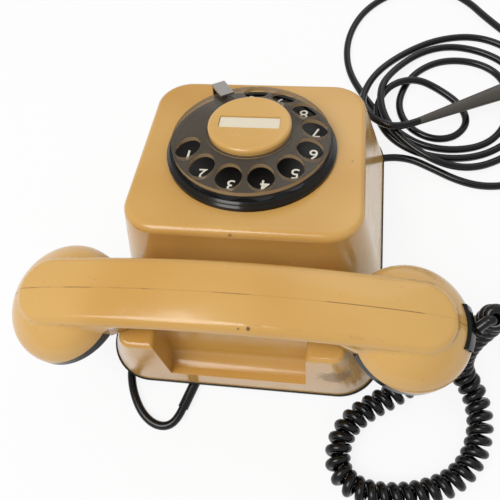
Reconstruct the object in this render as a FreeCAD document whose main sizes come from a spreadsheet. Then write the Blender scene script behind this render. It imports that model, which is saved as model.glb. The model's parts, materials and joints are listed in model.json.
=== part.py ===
import FreeCAD, Part
import math
import os
from types import SimpleNamespace

import Sketcher
from FreeCAD import Placement, Rotation, Vector

# A desk telephone with a rotary dial. Millimetres, +X to the user's right, +Y to the rear, +Z up.
# The origin is on the table, under the middle of the telephone without its cords.

SIZES = {
    # Fits
    "seat_gap": 0.3,             # between pieces that move apart, and round dropped-in pieces
    "running_gap": 0.05,         # radial, shaft in bearing
    "mounting_gap": 0.02,        # radial, wheel fixed on its own shaft
    # Base
    "foot_height": 6.5,
    "foot_radius": 7.5,
    "foot_taper": 1.0,
    "foot_side": 45.0,           # from the middle plane
    "foot_front": 82.0,
    "foot_rear": 72.0,
    "plate_thickness": 2.0,
    "plate_lip": 0.7,            # base plate past the housing's lower edge
    "base_half_width": 79.0,
    "base_front": 94.9,
    "base_rear": 87.0,
    "base_corner": 25.0,
    "standoff_radius": 3.0,
    "standoff_height": 7.0,
    "base_screw_radius": 1.5,
    "base_screw_head": 3.0,
    "base_screw_length": 14.0,
    "boss_radius": 4.5,
    "boss_height": 42.0,
    "boss_side": 65.0,
    "boss_front": 58.0,
    "boss_rear": 24.0,
    # Housing
    "wall": 3.0,
    "panel_width": 125.0,
    "panel_length": 122.6,
    "panel_tilt": 14.65,
    "panel_rear": 27.85,
    "panel_height": 90.0,
    "panel_corner": 20.0,
    "panel_edge": 4.0,
    "tower_rear": 36.0,
    "cradle_height": 71.5,
    "cradle_half_width": 56.0,
    "cradle_front": 44.0,
    "cradle_rear": 84.0,
    "cradle_corner": 6.0,
    "cradle_root": 10.0,
    "cradle_edge": 2.5,
    "gap_half_width": 37.7,      # hand gap between the two cradle posts
    "gap_floor": 56.0,
    "recess_floor": 26.0,
    "recess_top_wall": 69.0,
    "recess_low_wall": 73.0,
    "recess_round": 9.0,
    # Dial
    "dial_from_rear": 62.0,      # down the sloping panel from its rear edge
    "bezel_radius": 47.3,
    "bezel_step": 1.0,
    "bezel_height": 5.2,
    "bezel_ledge": 3.0,
    "bezel_spigot": 40.7,
    "bezel_depth": 6.0,
    "bezel_bore": 38.0,
    "number_plate_radius": 42.7,
    "number_plate_thickness": 1.2,
    "wheel_radius": 43.7,
    "wheel_rim_height": 10.2,
    "wheel_thickness": 2.4,
    "wheel_crown_radius": 24.5,
    "wheel_crown_height": 15.3,
    "wheel_crown_lip": 0.8,
    "finger_hole_radius": 7.2,
    "finger_hole_circle": 35.0,
    "finger_hole_first": 23.1,
    "finger_hole_step": 27.6,
    "finger_hole_count": 10,
    "wheel_boss_radius": 7.0,
    "wheel_boss_depth": 8.5,
    "hub_cap_radius": 22.7,
    "hub_cap_height": 4.2,
    "hub_cap_round": 2.0,
    "card_length": 32.6,
    "card_width": 8.9,
    "card_thickness": 0.4,
    "card_depth": 1.2,
    "stop_angle": -60.0,
    "stop_reach": 33.0,
    "stop_thickness": 1.2,
    "stop_width": 8.0,
    "stop_height": 12.3,
    "stop_rise": 2.2,
    # Dial movement
    "shaft_radius": 3.0,
    "movement_plate": 2.0,
    "movement_plate_radius": 40.4,
    "bush_radius": 5.2,
    "bush_height": 8.0,
    "train_module": 1.0,
    "drive_teeth": 40,
    "drive_thickness": 2.5,
    "drive_drop": 2.5,           # movement plate to drive gear
    "pinion_teeth": 10,
    "pinion_thickness": 3.5,
    "pulse_angle": 153.0,
    "pulse_shaft_radius": 1.5,
    "governor_module": 0.6,
    "governor_gear_teeth": 30,
    "governor_pinion_teeth": 10,
    "governor_angle": 243.0,     # from the pulse spindle to the governor spindle
    "governor_shaft_radius": 1.0,
    "governor_drum_radius": 8.5,
    "governor_drum_wall": 0.9,
    "governor_drum_depth": 6.0,
    "bridge_gap": 17.0,          # clear height of the gear train
    "bridge_radius": 38.0,
    "pillar_radius": 2.5,
    "pillar_circle": 33.0,
    "cam_radius": 8.0,
    "cam_waist": 5.5,
    "cam_thickness": 2.0,
    "leaf_length": 20.0,
    "leaf_thickness": 0.5,
    "leaf_overlap": 0.5,         # past each face of the cam, and pinion past its gear
    "stack_length": 12.0,
    "stack_depth": 4.5,
    "spring_case_radius": 12.0,
    "spring_case_height": 8.5,
    # Handset, with its heights taken from the top of the cradle
    "handset_y": 63.4,
    "handset_length": 216.0,
    "handle_width": 35.0,
    "handle_crown": 31.2,
    "handle_tip": 17.5,
    "handle_under": 4.5,         # underside at mid length
    "handle_seat": 0.5,          # underside over the cradle
    "handle_tip_under": 6.5,
    "handle_ridge": 1.6,         # fall of the top from its ridge to its edge
    "seat_half_span": 60.0,
    "handle_edge": 5.0,
    "cup_x": 86.5,
    "cup_z": -1.8,
    "cup_tilt": 18.8,
    "cup_radius": 31.5,
    "cup_height": 23.0,
    "cup_shoulder": 17.0,
    "cup_wall": 2.6,
    "cap_depth": 8.0,
    "cap_face_radius": 26.5,
    "cap_round": 6.0,
    "cap_wall": 2.2,
    "cap_dish": 1.0,
    "cap_collar": 2.5,
    "cap_hole_radius": 1.6,
    "cap_hole_circle": 12.0,
    "ear_hole_count": 6,
    "mouth_hole_count": 9,
    "capsule_radius": 23.5,
    "capsule_height": 10.0,
    "clip_thickness": 1.6,
    "clip_width": 22.0,
    "clip_low": 2.5,
    "clip_height": 5.0,
    # Cradle switch
    "plunger_x": 47.0,
    "plunger_radius": 4.0,
    "plunger_flange": 5.6,
    "plunger_length": 34.0,
    "plunger_travel": 5.0,
    "lever_pivot_y": 36.0,
    "lever_pivot_radius": 1.5,
    "lever_thickness": 1.5,
    "bracket_half_width": 30.0,
    "bracket_thickness": 2.0,
    "bracket_depth": 10.0,
    "switch_width": 20.0,
    "switch_depth": 10.0,
    "switch_leaf_width": 5.0,
    "switch_leaf_pitch": 6.5,
    "switch_leaf_thickness": 0.6,
    "switch_leaf_height": 8.0,
    "switch_leaf_count": 3,
    # Ringer
    "gong_radius": 20.0,
    "gong_height": 13.0,
    "gong_wall": 1.2,
    "gong_round": 16.0,
    "gong_crown": 11.0,
    "gong_x": 24.0,
    "gong_y": -60.0,
    "gong_z": 15.0,
    "gong_post_radius": 3.0,
    "coil_radius": 9.0,
    "coil_length": 24.0,
    "coil_flange": 1.5,
    "coil_flange_rise": 1.0,
    "core_radius": 3.0,
    "ringer_half_depth": 7.2,
    "ringer_cheek_rise": 5.4,    # above the coil's middle
    "tongue_width": 8.0,
    "coil_y": -22.0,
    "coil_z": 22.0,
    "clapper_pivot_y": -38.0,
    "clapper_ball": 2.4,
    "clapper_rod": 1.0,
    "clapper_hub": 2.5,
    "clapper_height": 4.0,
    "clapper_tail_width": 18.0,
    "clapper_tail_thickness": 2.0,
    # Circuit
    "board_length": 90.0,
    "board_width": 32.0,
    "board_thickness": 1.6,
    "board_y": 8.0,
    "transformer_length": 26.0,
    "transformer_width": 20.0,
    "transformer_height": 17.0,
    "transformer_margin": 3.0,
    "winding_radius": 6.8,
    "capacitor_radius": 6.0,
    "capacitor_length": 26.0,
    "capacitor_x": 5.0,
    "capacitor_offset": 6.0,
    "terminal_length": 36.0,
    "terminal_width": 9.0,
    "terminal_height": 8.0,
    "terminal_x": 2.0,
    "terminal_margin": 1.0,
    "terminal_pitch": 9.0,
    "terminal_well": 2.2,
    "terminal_count": 4,
    # Line cord
    "line_radius": 2.5,
    "sleeve_radius": 3.1,
    "gland_size": 12.0,
    "boot_length": 78.0,
    "boot_end_radius": 6.2,
    "plug_length": 34.0,
    "plug_width": 26.0,
    "plug_thickness": 15.0,
    "plug_round": 3.0,
    "pin_radius": 2.0,
    "pin_length": 18.0,
    "pin_spacing": 13.0,
    # Handset cord
    "curl_wire_radius": 1.8,
    "curl_radius": 4.5,          # wire centre from the coil's middle line
    "curl_pitch": 6.2,
    "inlet_y": 45.0,
    "inlet_z": 15.0,
    "inlet_radius": 4.2,
    "grommet_reach": 5.2,        # outside the wall
}


class Size:
    """A number together with the sheet expression that gives it."""

    def __init__(self, number, text):
        self.number = float(number)
        self.text = text

    def __float__(self):
        return self.number

    def __add__(self, other):
        other = as_size(other)
        return Size(self.number + other.number, f"({self.text} + {other.text})")

    def __sub__(self, other):
        other = as_size(other)
        return Size(self.number - other.number, f"({self.text} - {other.text})")

    def __mul__(self, other):
        other = as_size(other)
        return Size(self.number * other.number, f"({self.text} * {other.text})")

    def __truediv__(self, other):
        other = as_size(other)
        return Size(self.number / other.number, f"({self.text} / {other.text})")

    def __radd__(self, other):
        return as_size(other) + self

    def __rsub__(self, other):
        return as_size(other) - self

    def __rmul__(self, other):
        return as_size(other) * self

    def __rtruediv__(self, other):
        return as_size(other) / self

    def __neg__(self):
        return as_size(0) - self


def root(size):
    """Square root of a size."""
    return Size(math.sqrt(size.number), f"sqrt({size.text})")


def as_size(value):
    """Wrap a plain number so that it can stand beside the sheet's sizes."""
    if isinstance(value, Size):
        return value
    return Size(value, f"({float(value)!r})")


doc = FreeCAD.newDocument("rotary_telephone")
sheet = doc.addObject("Spreadsheet::Sheet", "Sizes")
for row, (alias, number) in enumerate(SIZES.items(), start=1):
    sheet.set(f"A{row}", alias)
    sheet.set(f"B{row}", str(number))
    sheet.setAlias(f"B{row}", alias)
doc.recompute()
sizes = SimpleNamespace(**{alias: Size(number, f"Sizes.{alias}") for alias, number in SIZES.items()})

nodes = {}


def node(label, obj):
    """Name a finished piece; the name is also its file's."""
    obj.Label = label
    nodes[label] = obj
    return obj


def bind(obj, **properties):
    """Tie properties to sheet values."""
    for name, value in properties.items():
        obj.setExpression(name, as_size(value).text)


def arc_between(start, end, radius):
    """The short arc from start to end, turning left when the radius is positive."""
    chord = end - start
    half = chord.Length / 2
    side = Vector(-chord.y, chord.x, 0).normalize()
    rise = math.sqrt(max(radius * radius - half * half, 0.0))
    centre = start + chord * 0.5 + side * math.copysign(rise, radius)
    circle = Part.Circle(centre, Vector(0, 0, 1), abs(radius))
    first, last = (start, end) if radius > 0 else (end, start)
    return Part.ArcOfCircle(circle, circle.parameter(first), circle.parameter(last))


def draw(sketch, points):
    """Draw a closed outline through (x, y) corners; a third value bends the side that arrives there."""
    corners = [(as_size(point[0]), as_size(point[1])) for point in points]
    ends = []
    for index, point in enumerate(points):
        start = Vector(float(corners[index - 1][0]), float(corners[index - 1][1]), 0)
        end = Vector(float(corners[index][0]), float(corners[index][1]), 0)
        if len(point) == 2:
            sketch.addGeometry(Part.LineSegment(start, end), False)
            ends.append((1, 2))
        else:
            radius = as_size(point[2])
            side = sketch.addGeometry(arc_between(start, end, float(radius)), False)
            ends.append((1, 2) if float(radius) > 0 else (2, 1))
            size = radius if float(radius) > 0 else -radius
            hold(sketch, Sketcher.Constraint("Radius", side, float(size)), size)
    first_side = sketch.GeometryCount - len(points)
    for index in range(len(points)):
        after = (index + 1) % len(points)
        this_side, next_side = first_side + index, first_side + after
        sketch.addConstraint(
            Sketcher.Constraint("Coincident", this_side, ends[index][1], next_side, ends[after][0]))
        across, along = corners[index]
        place = (this_side, ends[index][1])
        hold(sketch, Sketcher.Constraint("DistanceX", *place, float(across)), across)
        hold(sketch, Sketcher.Constraint("DistanceY", *place, float(along)), along)


def hold(sketch, constraint, size):
    """Add a dimension and tie it to the sheet."""
    index = sketch.addConstraint(constraint)
    if "Sizes." in size.text:
        sketch.setExpression(f"Constraints[{index}]", size.text)


def draw_circle(sketch, across, along, radius):
    """Draw one circle held by its centre and radius."""
    across, along, radius = as_size(across), as_size(along), as_size(radius)
    centre = Vector(float(across), float(along), 0)
    side = sketch.addGeometry(Part.Circle(centre, Vector(0, 0, 1), float(radius)), False)
    hold(sketch, Sketcher.Constraint("Radius", side, float(radius)), radius)
    hold(sketch, Sketcher.Constraint("DistanceX", side, 3, float(across)), across)
    hold(sketch, Sketcher.Constraint("DistanceY", side, 3, float(along)), along)


def new_body(name, place=None):
    """Start a body at its place."""
    body = doc.addObject("PartDesign::Body", name)
    if place:
        body.Placement = place
    return body


def new_sketch(body, plane, level=0.0):
    """Start a sketch on one of the body's own planes, raised by level along the plane's normal."""
    sketch = body.newObject("Sketcher::SketchObject", f"{body.Name}_sketch")
    support = [item for item in body.Origin.OriginFeatures if item.Role == f"{plane}_Plane"][0]
    sketch.AttachmentSupport = (support, [""])
    sketch.MapMode = "FlatFace"
    if as_size(level).number or isinstance(level, Size):
        sketch.setExpression("AttachmentOffset.Base.z", as_size(level).text)
    return sketch


def revolve(body, points):
    """Turn an outline of (radius, height) corners round the body's Z axis."""
    sketch = new_sketch(body, "XZ")
    draw(sketch, points)
    turn = body.newObject("PartDesign::Revolution", f"{body.Name}_turn")
    turn.Profile = sketch
    turn.ReferenceAxis = (sketch, ["V_Axis"])
    turn.Angle = 360
    return turn


def pad(body, sketch, length, reverse=False):
    """Raise a sketch by length."""
    feature = body.newObject("PartDesign::Pad", f"{body.Name}_pad")
    feature.Profile = sketch
    feature.Reversed = reverse
    bind(feature, Length=length)
    return feature


def pocket(body, sketch, length, reverse=False):
    """Sink a sketch into the body by length."""
    feature = body.newObject("PartDesign::Pocket", f"{body.Name}_pocket")
    feature.Profile = sketch
    feature.Reversed = reverse
    bind(feature, Length=length)
    return feature


def polar(body, feature, sketch, count, angle=360.0):
    """Repeat a feature about the body's Z axis; the angle covers the whole row of copies."""
    pattern = body.newObject("PartDesign::PolarPattern", f"{body.Name}_ring")
    pattern.Originals = [feature]
    pattern.Axis = (sketch, ["N_Axis"])
    pattern.Angle = angle
    pattern.Occurrences = count
    body.Tip = pattern
    return pattern


def turned(label, points, place=None):
    """A piece turned on a lathe."""
    body = new_body(label, place)
    revolve(body, points)
    return node(label, body)


def disc_outline(outer, low, high, bore=None):
    """A plain disc's half section, with a bore where one is given."""
    inner = as_size(0) if bore is None else bore
    return [(inner, low), (outer, low), (outer, high), (inner, high)]


def block(name, corner, size, place=None):
    """A box between a low corner and its size."""
    box = doc.addObject("Part::Box", name)
    length, width, height = size
    bind(box, Length=length, Width=width, Height=height)
    box.Placement = (place or Placement()).multiply(Placement(vector(*corner), Rotation()))
    return box


def rod(name, centre, radius, length, axis=Vector(0, 0, 1), place=None):
    """A cylinder that starts at centre and runs along axis."""
    cylinder = doc.addObject("Part::Cylinder", name)
    bind(cylinder, Radius=radius, Height=length)
    stand = Placement(vector(*centre), Rotation(Vector(0, 0, 1), axis))
    cylinder.Placement = (place or Placement()).multiply(stand)
    return cylinder


def vector(across, along, up):
    return Vector(float(across), float(along), float(up))


def fuse(name, *pieces):
    """Join pieces into one solid."""
    joined = doc.addObject("Part::MultiFuse", name)
    joined.Shapes = list(pieces)
    joined.Refine = True
    return joined


def cut(name, base, *tools):
    """Take tools away from a base."""
    result = doc.addObject("Part::Cut", name)
    result.Base = base
    result.Tool = tools[0] if len(tools) == 1 else fuse(f"{name}_tools", *tools)
    return result


def common(name, *pieces):
    """Keep what all pieces share."""
    shared = doc.addObject("Part::MultiCommon", name)
    shared.Shapes = list(pieces)
    return shared


def group(name, *pieces):
    """Separate solids that share one node."""
    compound = doc.addObject("Part::Compound", name)
    compound.Links = list(pieces)
    return compound


def flat_sketch(name, points, place=None):
    """A free outline at a place."""
    sketch = doc.addObject("Sketcher::SketchObject", name)
    draw(sketch, points)
    if place:
        sketch.Placement = place
    return sketch


def loft(name, *sketches):
    """A solid with straight sides through outlines of the same make-up."""
    solid = doc.addObject("Part::Loft", name)
    solid.Sections = list(sketches)
    solid.Solid = True
    solid.Ruled = True
    return solid


def prism(name, points, direction, length, place=None):
    """An outline drawn straight along a direction."""
    solid = doc.addObject("Part::Extrusion", name)
    solid.Base = flat_sketch(f"{name}_outline", points, place)
    solid.DirMode = "Custom"
    solid.Dir = direction
    solid.Solid = True
    bind(solid, LengthFwd=length)
    return solid


def rounded_edges(name, base, radius, chosen):
    """Round the edges of base that chosen accepts."""
    doc.recompute()
    fillet = doc.addObject("Part::Fillet", name)
    fillet.Base = base
    size = float(radius)
    fillet.Edges = [(index, size, size) for index, edge in enumerate(base.Shape.Edges, start=1)
                    if chosen(edge)]
    return fillet


def rounded_rectangle(half_width, front, rear, corner):
    """Corners of a rectangle about the middle plane, with round corners."""
    w, f, r, c = (as_size(value) for value in (half_width, front, rear, corner))
    return [(c - w, f, c), (w - c, f), (w, f + c, c), (w, r - c),
            (w - c, r, c), (c - w, r), (-w, r - c, c), (-w, f + c)]


ALONG_X = Vector(1, 0, 0)
ALONG_Y = Vector(0, 1, 0)
UP = Vector(0, 0, 1)
SIDE_VIEW = Placement(Vector(), Rotation(Vector(1, 1, 1), 120))    # outline x runs along Y, y along Z
FRONT_VIEW = Placement(Vector(), Rotation(ALONG_X, 90))            # outline x runs along X, y along Z

plate_low = sizes.foot_height
plate_top = plate_low + sizes.plate_thickness
tilt = math.radians(sizes.panel_tilt.number)
slope = Vector(0, -math.cos(tilt), -math.sin(tilt))                # down the panel, towards the user
panel_corner_point = vector(0, sizes.panel_rear, sizes.panel_height)
dial_centre = panel_corner_point + slope * sizes.dial_from_rear.number
dial = Placement(dial_centre, Rotation(ALONG_X, sizes.panel_tilt.number))


def at_height(height):
    """A level outline at a height."""
    return Placement(vector(0, 0, height), Rotation())


# Housing: a dial tower and a rear cradle block, moulded as one hollow shell
def housing():
    panel = Placement(panel_corner_point, Rotation(ALONG_X, sizes.panel_tilt.number))

    def tower(name, inset, drop):
        """The dial tower's form, drawn in by a wall."""
        low = flat_sketch(f"{name}_low", rounded_rectangle(
            sizes.base_half_width - inset, inset - sizes.base_front, sizes.tower_rear - inset,
            sizes.base_corner - inset), at_height(plate_top))
        high = flat_sketch(f"{name}_high", rounded_rectangle(
            sizes.panel_width / 2 - inset, inset - sizes.panel_length, -inset, sizes.panel_corner - inset),
            panel.multiply(at_height(-drop)))
        return loft(name, low, high)

    def cradle(name, inset, drop):
        """The cradle block's form, drawn in by a wall."""
        low = flat_sketch(f"{name}_low", rounded_rectangle(
            sizes.base_half_width - inset, inset - sizes.cradle_root, sizes.base_rear - inset,
            sizes.base_corner - inset), at_height(plate_top))
        high = flat_sketch(f"{name}_high", rounded_rectangle(
            sizes.cradle_half_width - inset, sizes.cradle_front + inset, sizes.cradle_rear - inset,
            sizes.cradle_corner - inset), at_height(sizes.cradle_height - drop))
        return loft(name, low, high)

    def hand_gap(name, grow):
        """The gap under the handle and the finger recess behind it, grown by a wall."""
        reach = sizes.base_rear + sizes.base_corner
        start = sizes.tower_rear - sizes.base_corner
        high = sizes.cradle_height + sizes.base_corner
        outline = [
            (start, sizes.gap_floor - grow),
            (sizes.recess_top_wall - grow, sizes.gap_floor - grow),
            (sizes.recess_low_wall - grow, sizes.recess_floor + sizes.recess_round - grow),
            (sizes.recess_low_wall + sizes.recess_round - grow, sizes.recess_floor - grow,
             sizes.recess_round),
            (reach, sizes.recess_floor - grow),
            (reach, high),
            (start, high),
        ]
        half = sizes.gap_half_width + grow
        place = Placement(vector(-half, 0, 0), Rotation()).multiply(SIDE_VIEW)
        return prism(name, outline, ALONG_X, half * 2, place)

    zero = as_size(0)
    tower_form = tower("tower_form", zero, zero)
    edge_plane = panel.inverse()

    def on_panel(edge):
        return all(abs(edge_plane.multVec(vertex.Point).z) < 0.01 for vertex in edge.Vertexes)

    tower_round = rounded_edges("tower_round", tower_form, sizes.panel_edge, on_panel)
    cradle_cut = cut("cradle_cut", cradle("cradle_form", zero, zero), hand_gap("hand_gap", zero))

    def on_cradle(edge):
        return all(abs(vertex.Z - sizes.cradle_height.number) < 0.01 for vertex in edge.Vertexes)

    cradle_round = rounded_edges("cradle_round", cradle_cut, sizes.cradle_edge, on_cradle)
    outside = fuse("housing_outside", tower_round, cradle_round)
    cradle_room = cut("cradle_room", cradle("cradle_core", sizes.wall, sizes.wall),
                      hand_gap("gap_wall", sizes.wall))
    inside = fuse("housing_inside", tower("tower_core", sizes.wall, sizes.wall), cradle_room)
    shell = cut("housing_shell", outside, inside)

    bosses = []
    pilots = []
    for index, (across, along) in enumerate(boss_places()):
        centre = (across, along, plate_top)
        bosses.append(rod(f"boss_{index}", centre, sizes.boss_radius, sizes.boss_height))
        pilots.append(rod(f"pilot_{index}", centre, sizes.base_screw_radius + sizes.mounting_gap,
                          sizes.base_screw_length))
    bossed = fuse("housing_bossed", shell, common("housing_bosses", fuse("boss_set", *bosses), outside))

    openings = [rod("dial_opening", (0, 0, -sizes.wall * 3), sizes.bezel_spigot + sizes.seat_gap,
                    sizes.wall * 4,
                    place=dial)]
    for side in (-1, 1):
        openings.append(rod(f"plunger_opening_{side}",
                            (side * sizes.plunger_x, sizes.handset_y, sizes.cradle_height - sizes.wall * 2),
                            sizes.plunger_radius + sizes.seat_gap, sizes.wall * 3))
    openings.append(rod("cord_opening", (-sizes.base_half_width - sizes.wall, sizes.inlet_y, sizes.inlet_z),
                        sizes.inlet_radius + sizes.mounting_gap, sizes.wall * 5, ALONG_X))
    node("housing", cut("housing", bossed, *pilots, *openings))


def boss_places():
    return [(side * sizes.boss_side, along) for side in (-1, 1)
            for along in (-sizes.boss_front, sizes.boss_rear)]


# Base: pressed plate with standoffs, rubber feet and the screws that hold the housing down
def base():
    body = new_body("base_plate")
    sketch = new_sketch(body, "XY", plate_low)
    lip = sizes.plate_lip
    draw(sketch, rounded_rectangle(sizes.base_half_width + lip, -sizes.base_front, sizes.base_rear + lip,
                                   sizes.base_corner))
    pad(body, sketch, sizes.plate_thickness)
    posts = new_sketch(body, "XY", plate_top)
    for across in (-1, 1):
        for along in (-1, 1):
            draw_circle(posts, across * (sizes.board_length / 2 - sizes.standoff_radius * 2),
                        sizes.board_y + along * (sizes.board_width / 2 - sizes.standoff_radius * 2),
                        sizes.standoff_radius)
    pad(body, posts, sizes.standoff_height)
    holes = new_sketch(body, "XY", plate_low)
    for across, along in boss_places():
        draw_circle(holes, across, along, sizes.base_screw_radius + sizes.mounting_gap)
    pocket(body, holes, sizes.plate_thickness, reverse=True)
    node("base_plate", body)

    feet = []
    screws = []
    for index, (across, along) in enumerate([(side * sizes.foot_side, row) for side in (-1, 1)
                                             for row in (-sizes.foot_front, sizes.foot_rear)]):
        foot = doc.addObject("Part::Cone", f"foot_{index}")
        bind(foot, Radius1=sizes.foot_radius - sizes.foot_taper, Radius2=sizes.foot_radius,
             Height=sizes.foot_height)
        foot.Placement = Placement(vector(across, along, 0), Rotation())
        feet.append(foot)
    node("rubber_feet", group("rubber_feet", *feet))
    for index, (across, along) in enumerate(boss_places()):
        head = rod(f"base_screw_head_{index}", (across, along, plate_low - sizes.base_screw_radius),
                   sizes.base_screw_head, sizes.base_screw_radius)
        shank = rod(f"base_screw_shank_{index}", (across, along, plate_low), sizes.base_screw_radius,
                    sizes.base_screw_length)
        screws.append(fuse(f"base_screw_{index}", head, shank))
    node("base_screws", group("base_screws", *screws))


# Dial: bezel, number plate, finger wheel, hub cap and finger stop, seen on the panel
def dial_face():
    step = sizes.bezel_step
    bezel = new_body("dial_bezel", dial)
    revolve(bezel, [
        (sizes.bezel_bore, -sizes.bezel_depth), (sizes.bezel_spigot, -sizes.bezel_depth),
        (sizes.bezel_spigot, 0),
        (sizes.bezel_radius, 0), (sizes.bezel_radius, sizes.bezel_height - step * 3),
        (sizes.bezel_radius - step, sizes.bezel_height - step * 2),
        (sizes.bezel_radius - step, sizes.bezel_height - step),
        (sizes.bezel_radius - step * 2, sizes.bezel_height),
        (sizes.number_plate_radius + sizes.seat_gap, sizes.bezel_height),
        (sizes.number_plate_radius + sizes.seat_gap, sizes.bezel_ledge),
        (sizes.bezel_bore, sizes.bezel_ledge)])
    holes = new_sketch(bezel, "XY", -sizes.bezel_depth)
    for degrees in SCREW_TURNS:
        draw_circle(holes, *on_ring(screw_ring, degrees), sizes.base_screw_radius / 2 + sizes.mounting_gap)
    pocket(bezel, holes, sizes.bezel_depth / 2, reverse=True)
    node("dial_bezel", bezel)
    turned("number_plate", disc_outline(
        sizes.number_plate_radius, sizes.bezel_ledge, sizes.bezel_ledge + sizes.number_plate_thickness,
        sizes.wheel_boss_radius + sizes.seat_gap * 2), dial)

    wheel = new_body("finger_wheel", dial)
    under = sizes.wheel_thickness
    flange = sizes.hub_cap_radius + sizes.seat_gap
    revolve(wheel, [
        (sizes.shaft_radius + sizes.mounting_gap, sizes.wheel_crown_height - sizes.wheel_boss_depth),
        (sizes.wheel_boss_radius, sizes.wheel_crown_height - sizes.wheel_boss_depth),
        (sizes.wheel_boss_radius, sizes.wheel_crown_height - under),
        (sizes.wheel_crown_radius, sizes.wheel_crown_height - under),
        (sizes.wheel_radius, sizes.wheel_rim_height - under), (sizes.wheel_radius, sizes.wheel_rim_height),
        (sizes.wheel_crown_radius, sizes.wheel_crown_height),
        (sizes.wheel_crown_radius, sizes.wheel_crown_height + sizes.wheel_crown_lip),
        (flange, sizes.wheel_crown_height + sizes.wheel_crown_lip), (flange, sizes.wheel_crown_height),
        (sizes.shaft_radius + sizes.mounting_gap, sizes.wheel_crown_height)])
    hole = new_sketch(wheel, "XY", sizes.wheel_crown_height)
    first = math.radians(sizes.finger_hole_first.number)
    draw_circle(hole, sizes.finger_hole_circle * math.cos(first), sizes.finger_hole_circle * math.sin(first),
                sizes.finger_hole_radius)
    opening = pocket(wheel, hole, sizes.wheel_crown_height)
    polar(wheel, opening, hole, int(sizes.finger_hole_count.number),
          sizes.finger_hole_step.number * (sizes.finger_hole_count.number - 1))
    node("finger_wheel", wheel)

    cap = new_body("hub_cap", dial)
    low, round_ = sizes.wheel_crown_height, sizes.hub_cap_round
    high = low + sizes.hub_cap_height
    revolve(cap, [(0, low), (sizes.hub_cap_radius, low), (sizes.hub_cap_radius, high - round_),
                  (sizes.hub_cap_radius - round_, high, round_), (0, high)])
    window = new_sketch(cap, "XY", high)
    draw(window, rounded_rectangle(sizes.card_length / 2 + sizes.seat_gap,
                                   -sizes.card_width / 2 - sizes.seat_gap,
                                   sizes.card_width / 2 + sizes.seat_gap, sizes.seat_gap * 4))
    pocket(cap, window, sizes.card_depth)
    node("hub_cap", cap)
    node("number_card", block("number_card", (-sizes.card_length / 2, -sizes.card_width / 2,
                                              high - sizes.card_depth),
                              (sizes.card_length, sizes.card_width, sizes.card_thickness), dial))

    leg = sizes.bezel_radius + sizes.seat_gap
    thick = sizes.stop_thickness
    stop_place = dial.multiply(Placement(Vector(), Rotation(UP, sizes.stop_angle.number)))
    stop_place = stop_place.multiply(Placement(vector(0, sizes.stop_width / 2, 0),
                                               Rotation())).multiply(FRONT_VIEW)
    node("finger_stop", prism("finger_stop", [
        (leg, 0), (leg + thick, 0), (leg + thick, sizes.stop_height + thick),
        (sizes.stop_reach, sizes.stop_height + sizes.stop_rise + thick),
        (sizes.stop_reach, sizes.stop_height + sizes.stop_rise),
        (leg, sizes.stop_height)], stop_place.Rotation.multVec(UP), sizes.stop_width, stop_place))


# Dial movement: plates, gear train, governor, pulse contacts and return spring, under the panel
plate_face = -sizes.bezel_depth - sizes.movement_plate
bridge_face = plate_face - sizes.bridge_gap
bridge_back = bridge_face - sizes.movement_plate
drive_low = plate_face - sizes.drive_drop - sizes.drive_thickness
train_distance = sizes.train_module * (sizes.drive_teeth + sizes.pinion_teeth) / 2
governor_distance = sizes.governor_module * (sizes.governor_gear_teeth + sizes.governor_pinion_teeth) / 2
pulse_turn = math.radians(sizes.pulse_angle.number)
pulse_spot = (train_distance * math.cos(pulse_turn), train_distance * math.sin(pulse_turn))
governor_turn = math.radians(sizes.governor_angle.number)
governor_spot = (pulse_spot[0] + governor_distance * math.cos(governor_turn),
                 pulse_spot[1] + governor_distance * math.sin(governor_turn))
screw_ring = (sizes.bezel_bore + sizes.bezel_spigot) / 2
SCREW_TURNS = (70.0, 190.0, 310.0)
PILLAR_TURNS = (30.0, 110.0, 250.0)
TOOTH_BELOW_PITCH = 1.15                     # shares of the module
TOOTH_ABOVE_PITCH = 0.9
TOOTH_SUNK = 0.4                             # into the rim
TOOTH_HALF_WIDTHS = (0.5, 0.4, 0.22)         # shares of half the tooth spacing: root, pitch line, tip


def on_ring(radius, degrees):
    """A spot on a ring, counted from the user's right."""
    turn = math.radians(degrees)
    return radius * math.cos(turn), radius * math.sin(turn)


def gear(name, place, teeth, module, low, thickness, bore, first=0.0):
    """A spur gear: a rim disc and a ring of tapered teeth with room between the flanks."""
    below, above, sunk = module * TOOTH_BELOW_PITCH, module * TOOTH_ABOVE_PITCH, module * TOOTH_SUNK
    body = new_body(name, place.multiply(Placement(Vector(), Rotation(UP, first))))
    pitch = module * teeth / 2
    root, tip = pitch - below, pitch + above
    disc = new_sketch(body, "XY", low)
    draw_circle(disc, 0, 0, root)
    draw_circle(disc, 0, 0, bore)
    pad(body, disc, thickness)
    tooth = new_sketch(body, "XY", low)
    space = module * math.pi / 2
    at_root, at_pitch, at_tip = (space * share for share in TOOTH_HALF_WIDTHS)
    draw(tooth, [(root - sunk, -at_root), (pitch, -at_pitch), (tip, -at_tip),
                 (tip, at_tip), (pitch, at_pitch), (root - sunk, at_root)])
    polar(body, pad(body, tooth, thickness), tooth, int(teeth.number))
    return body


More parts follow.
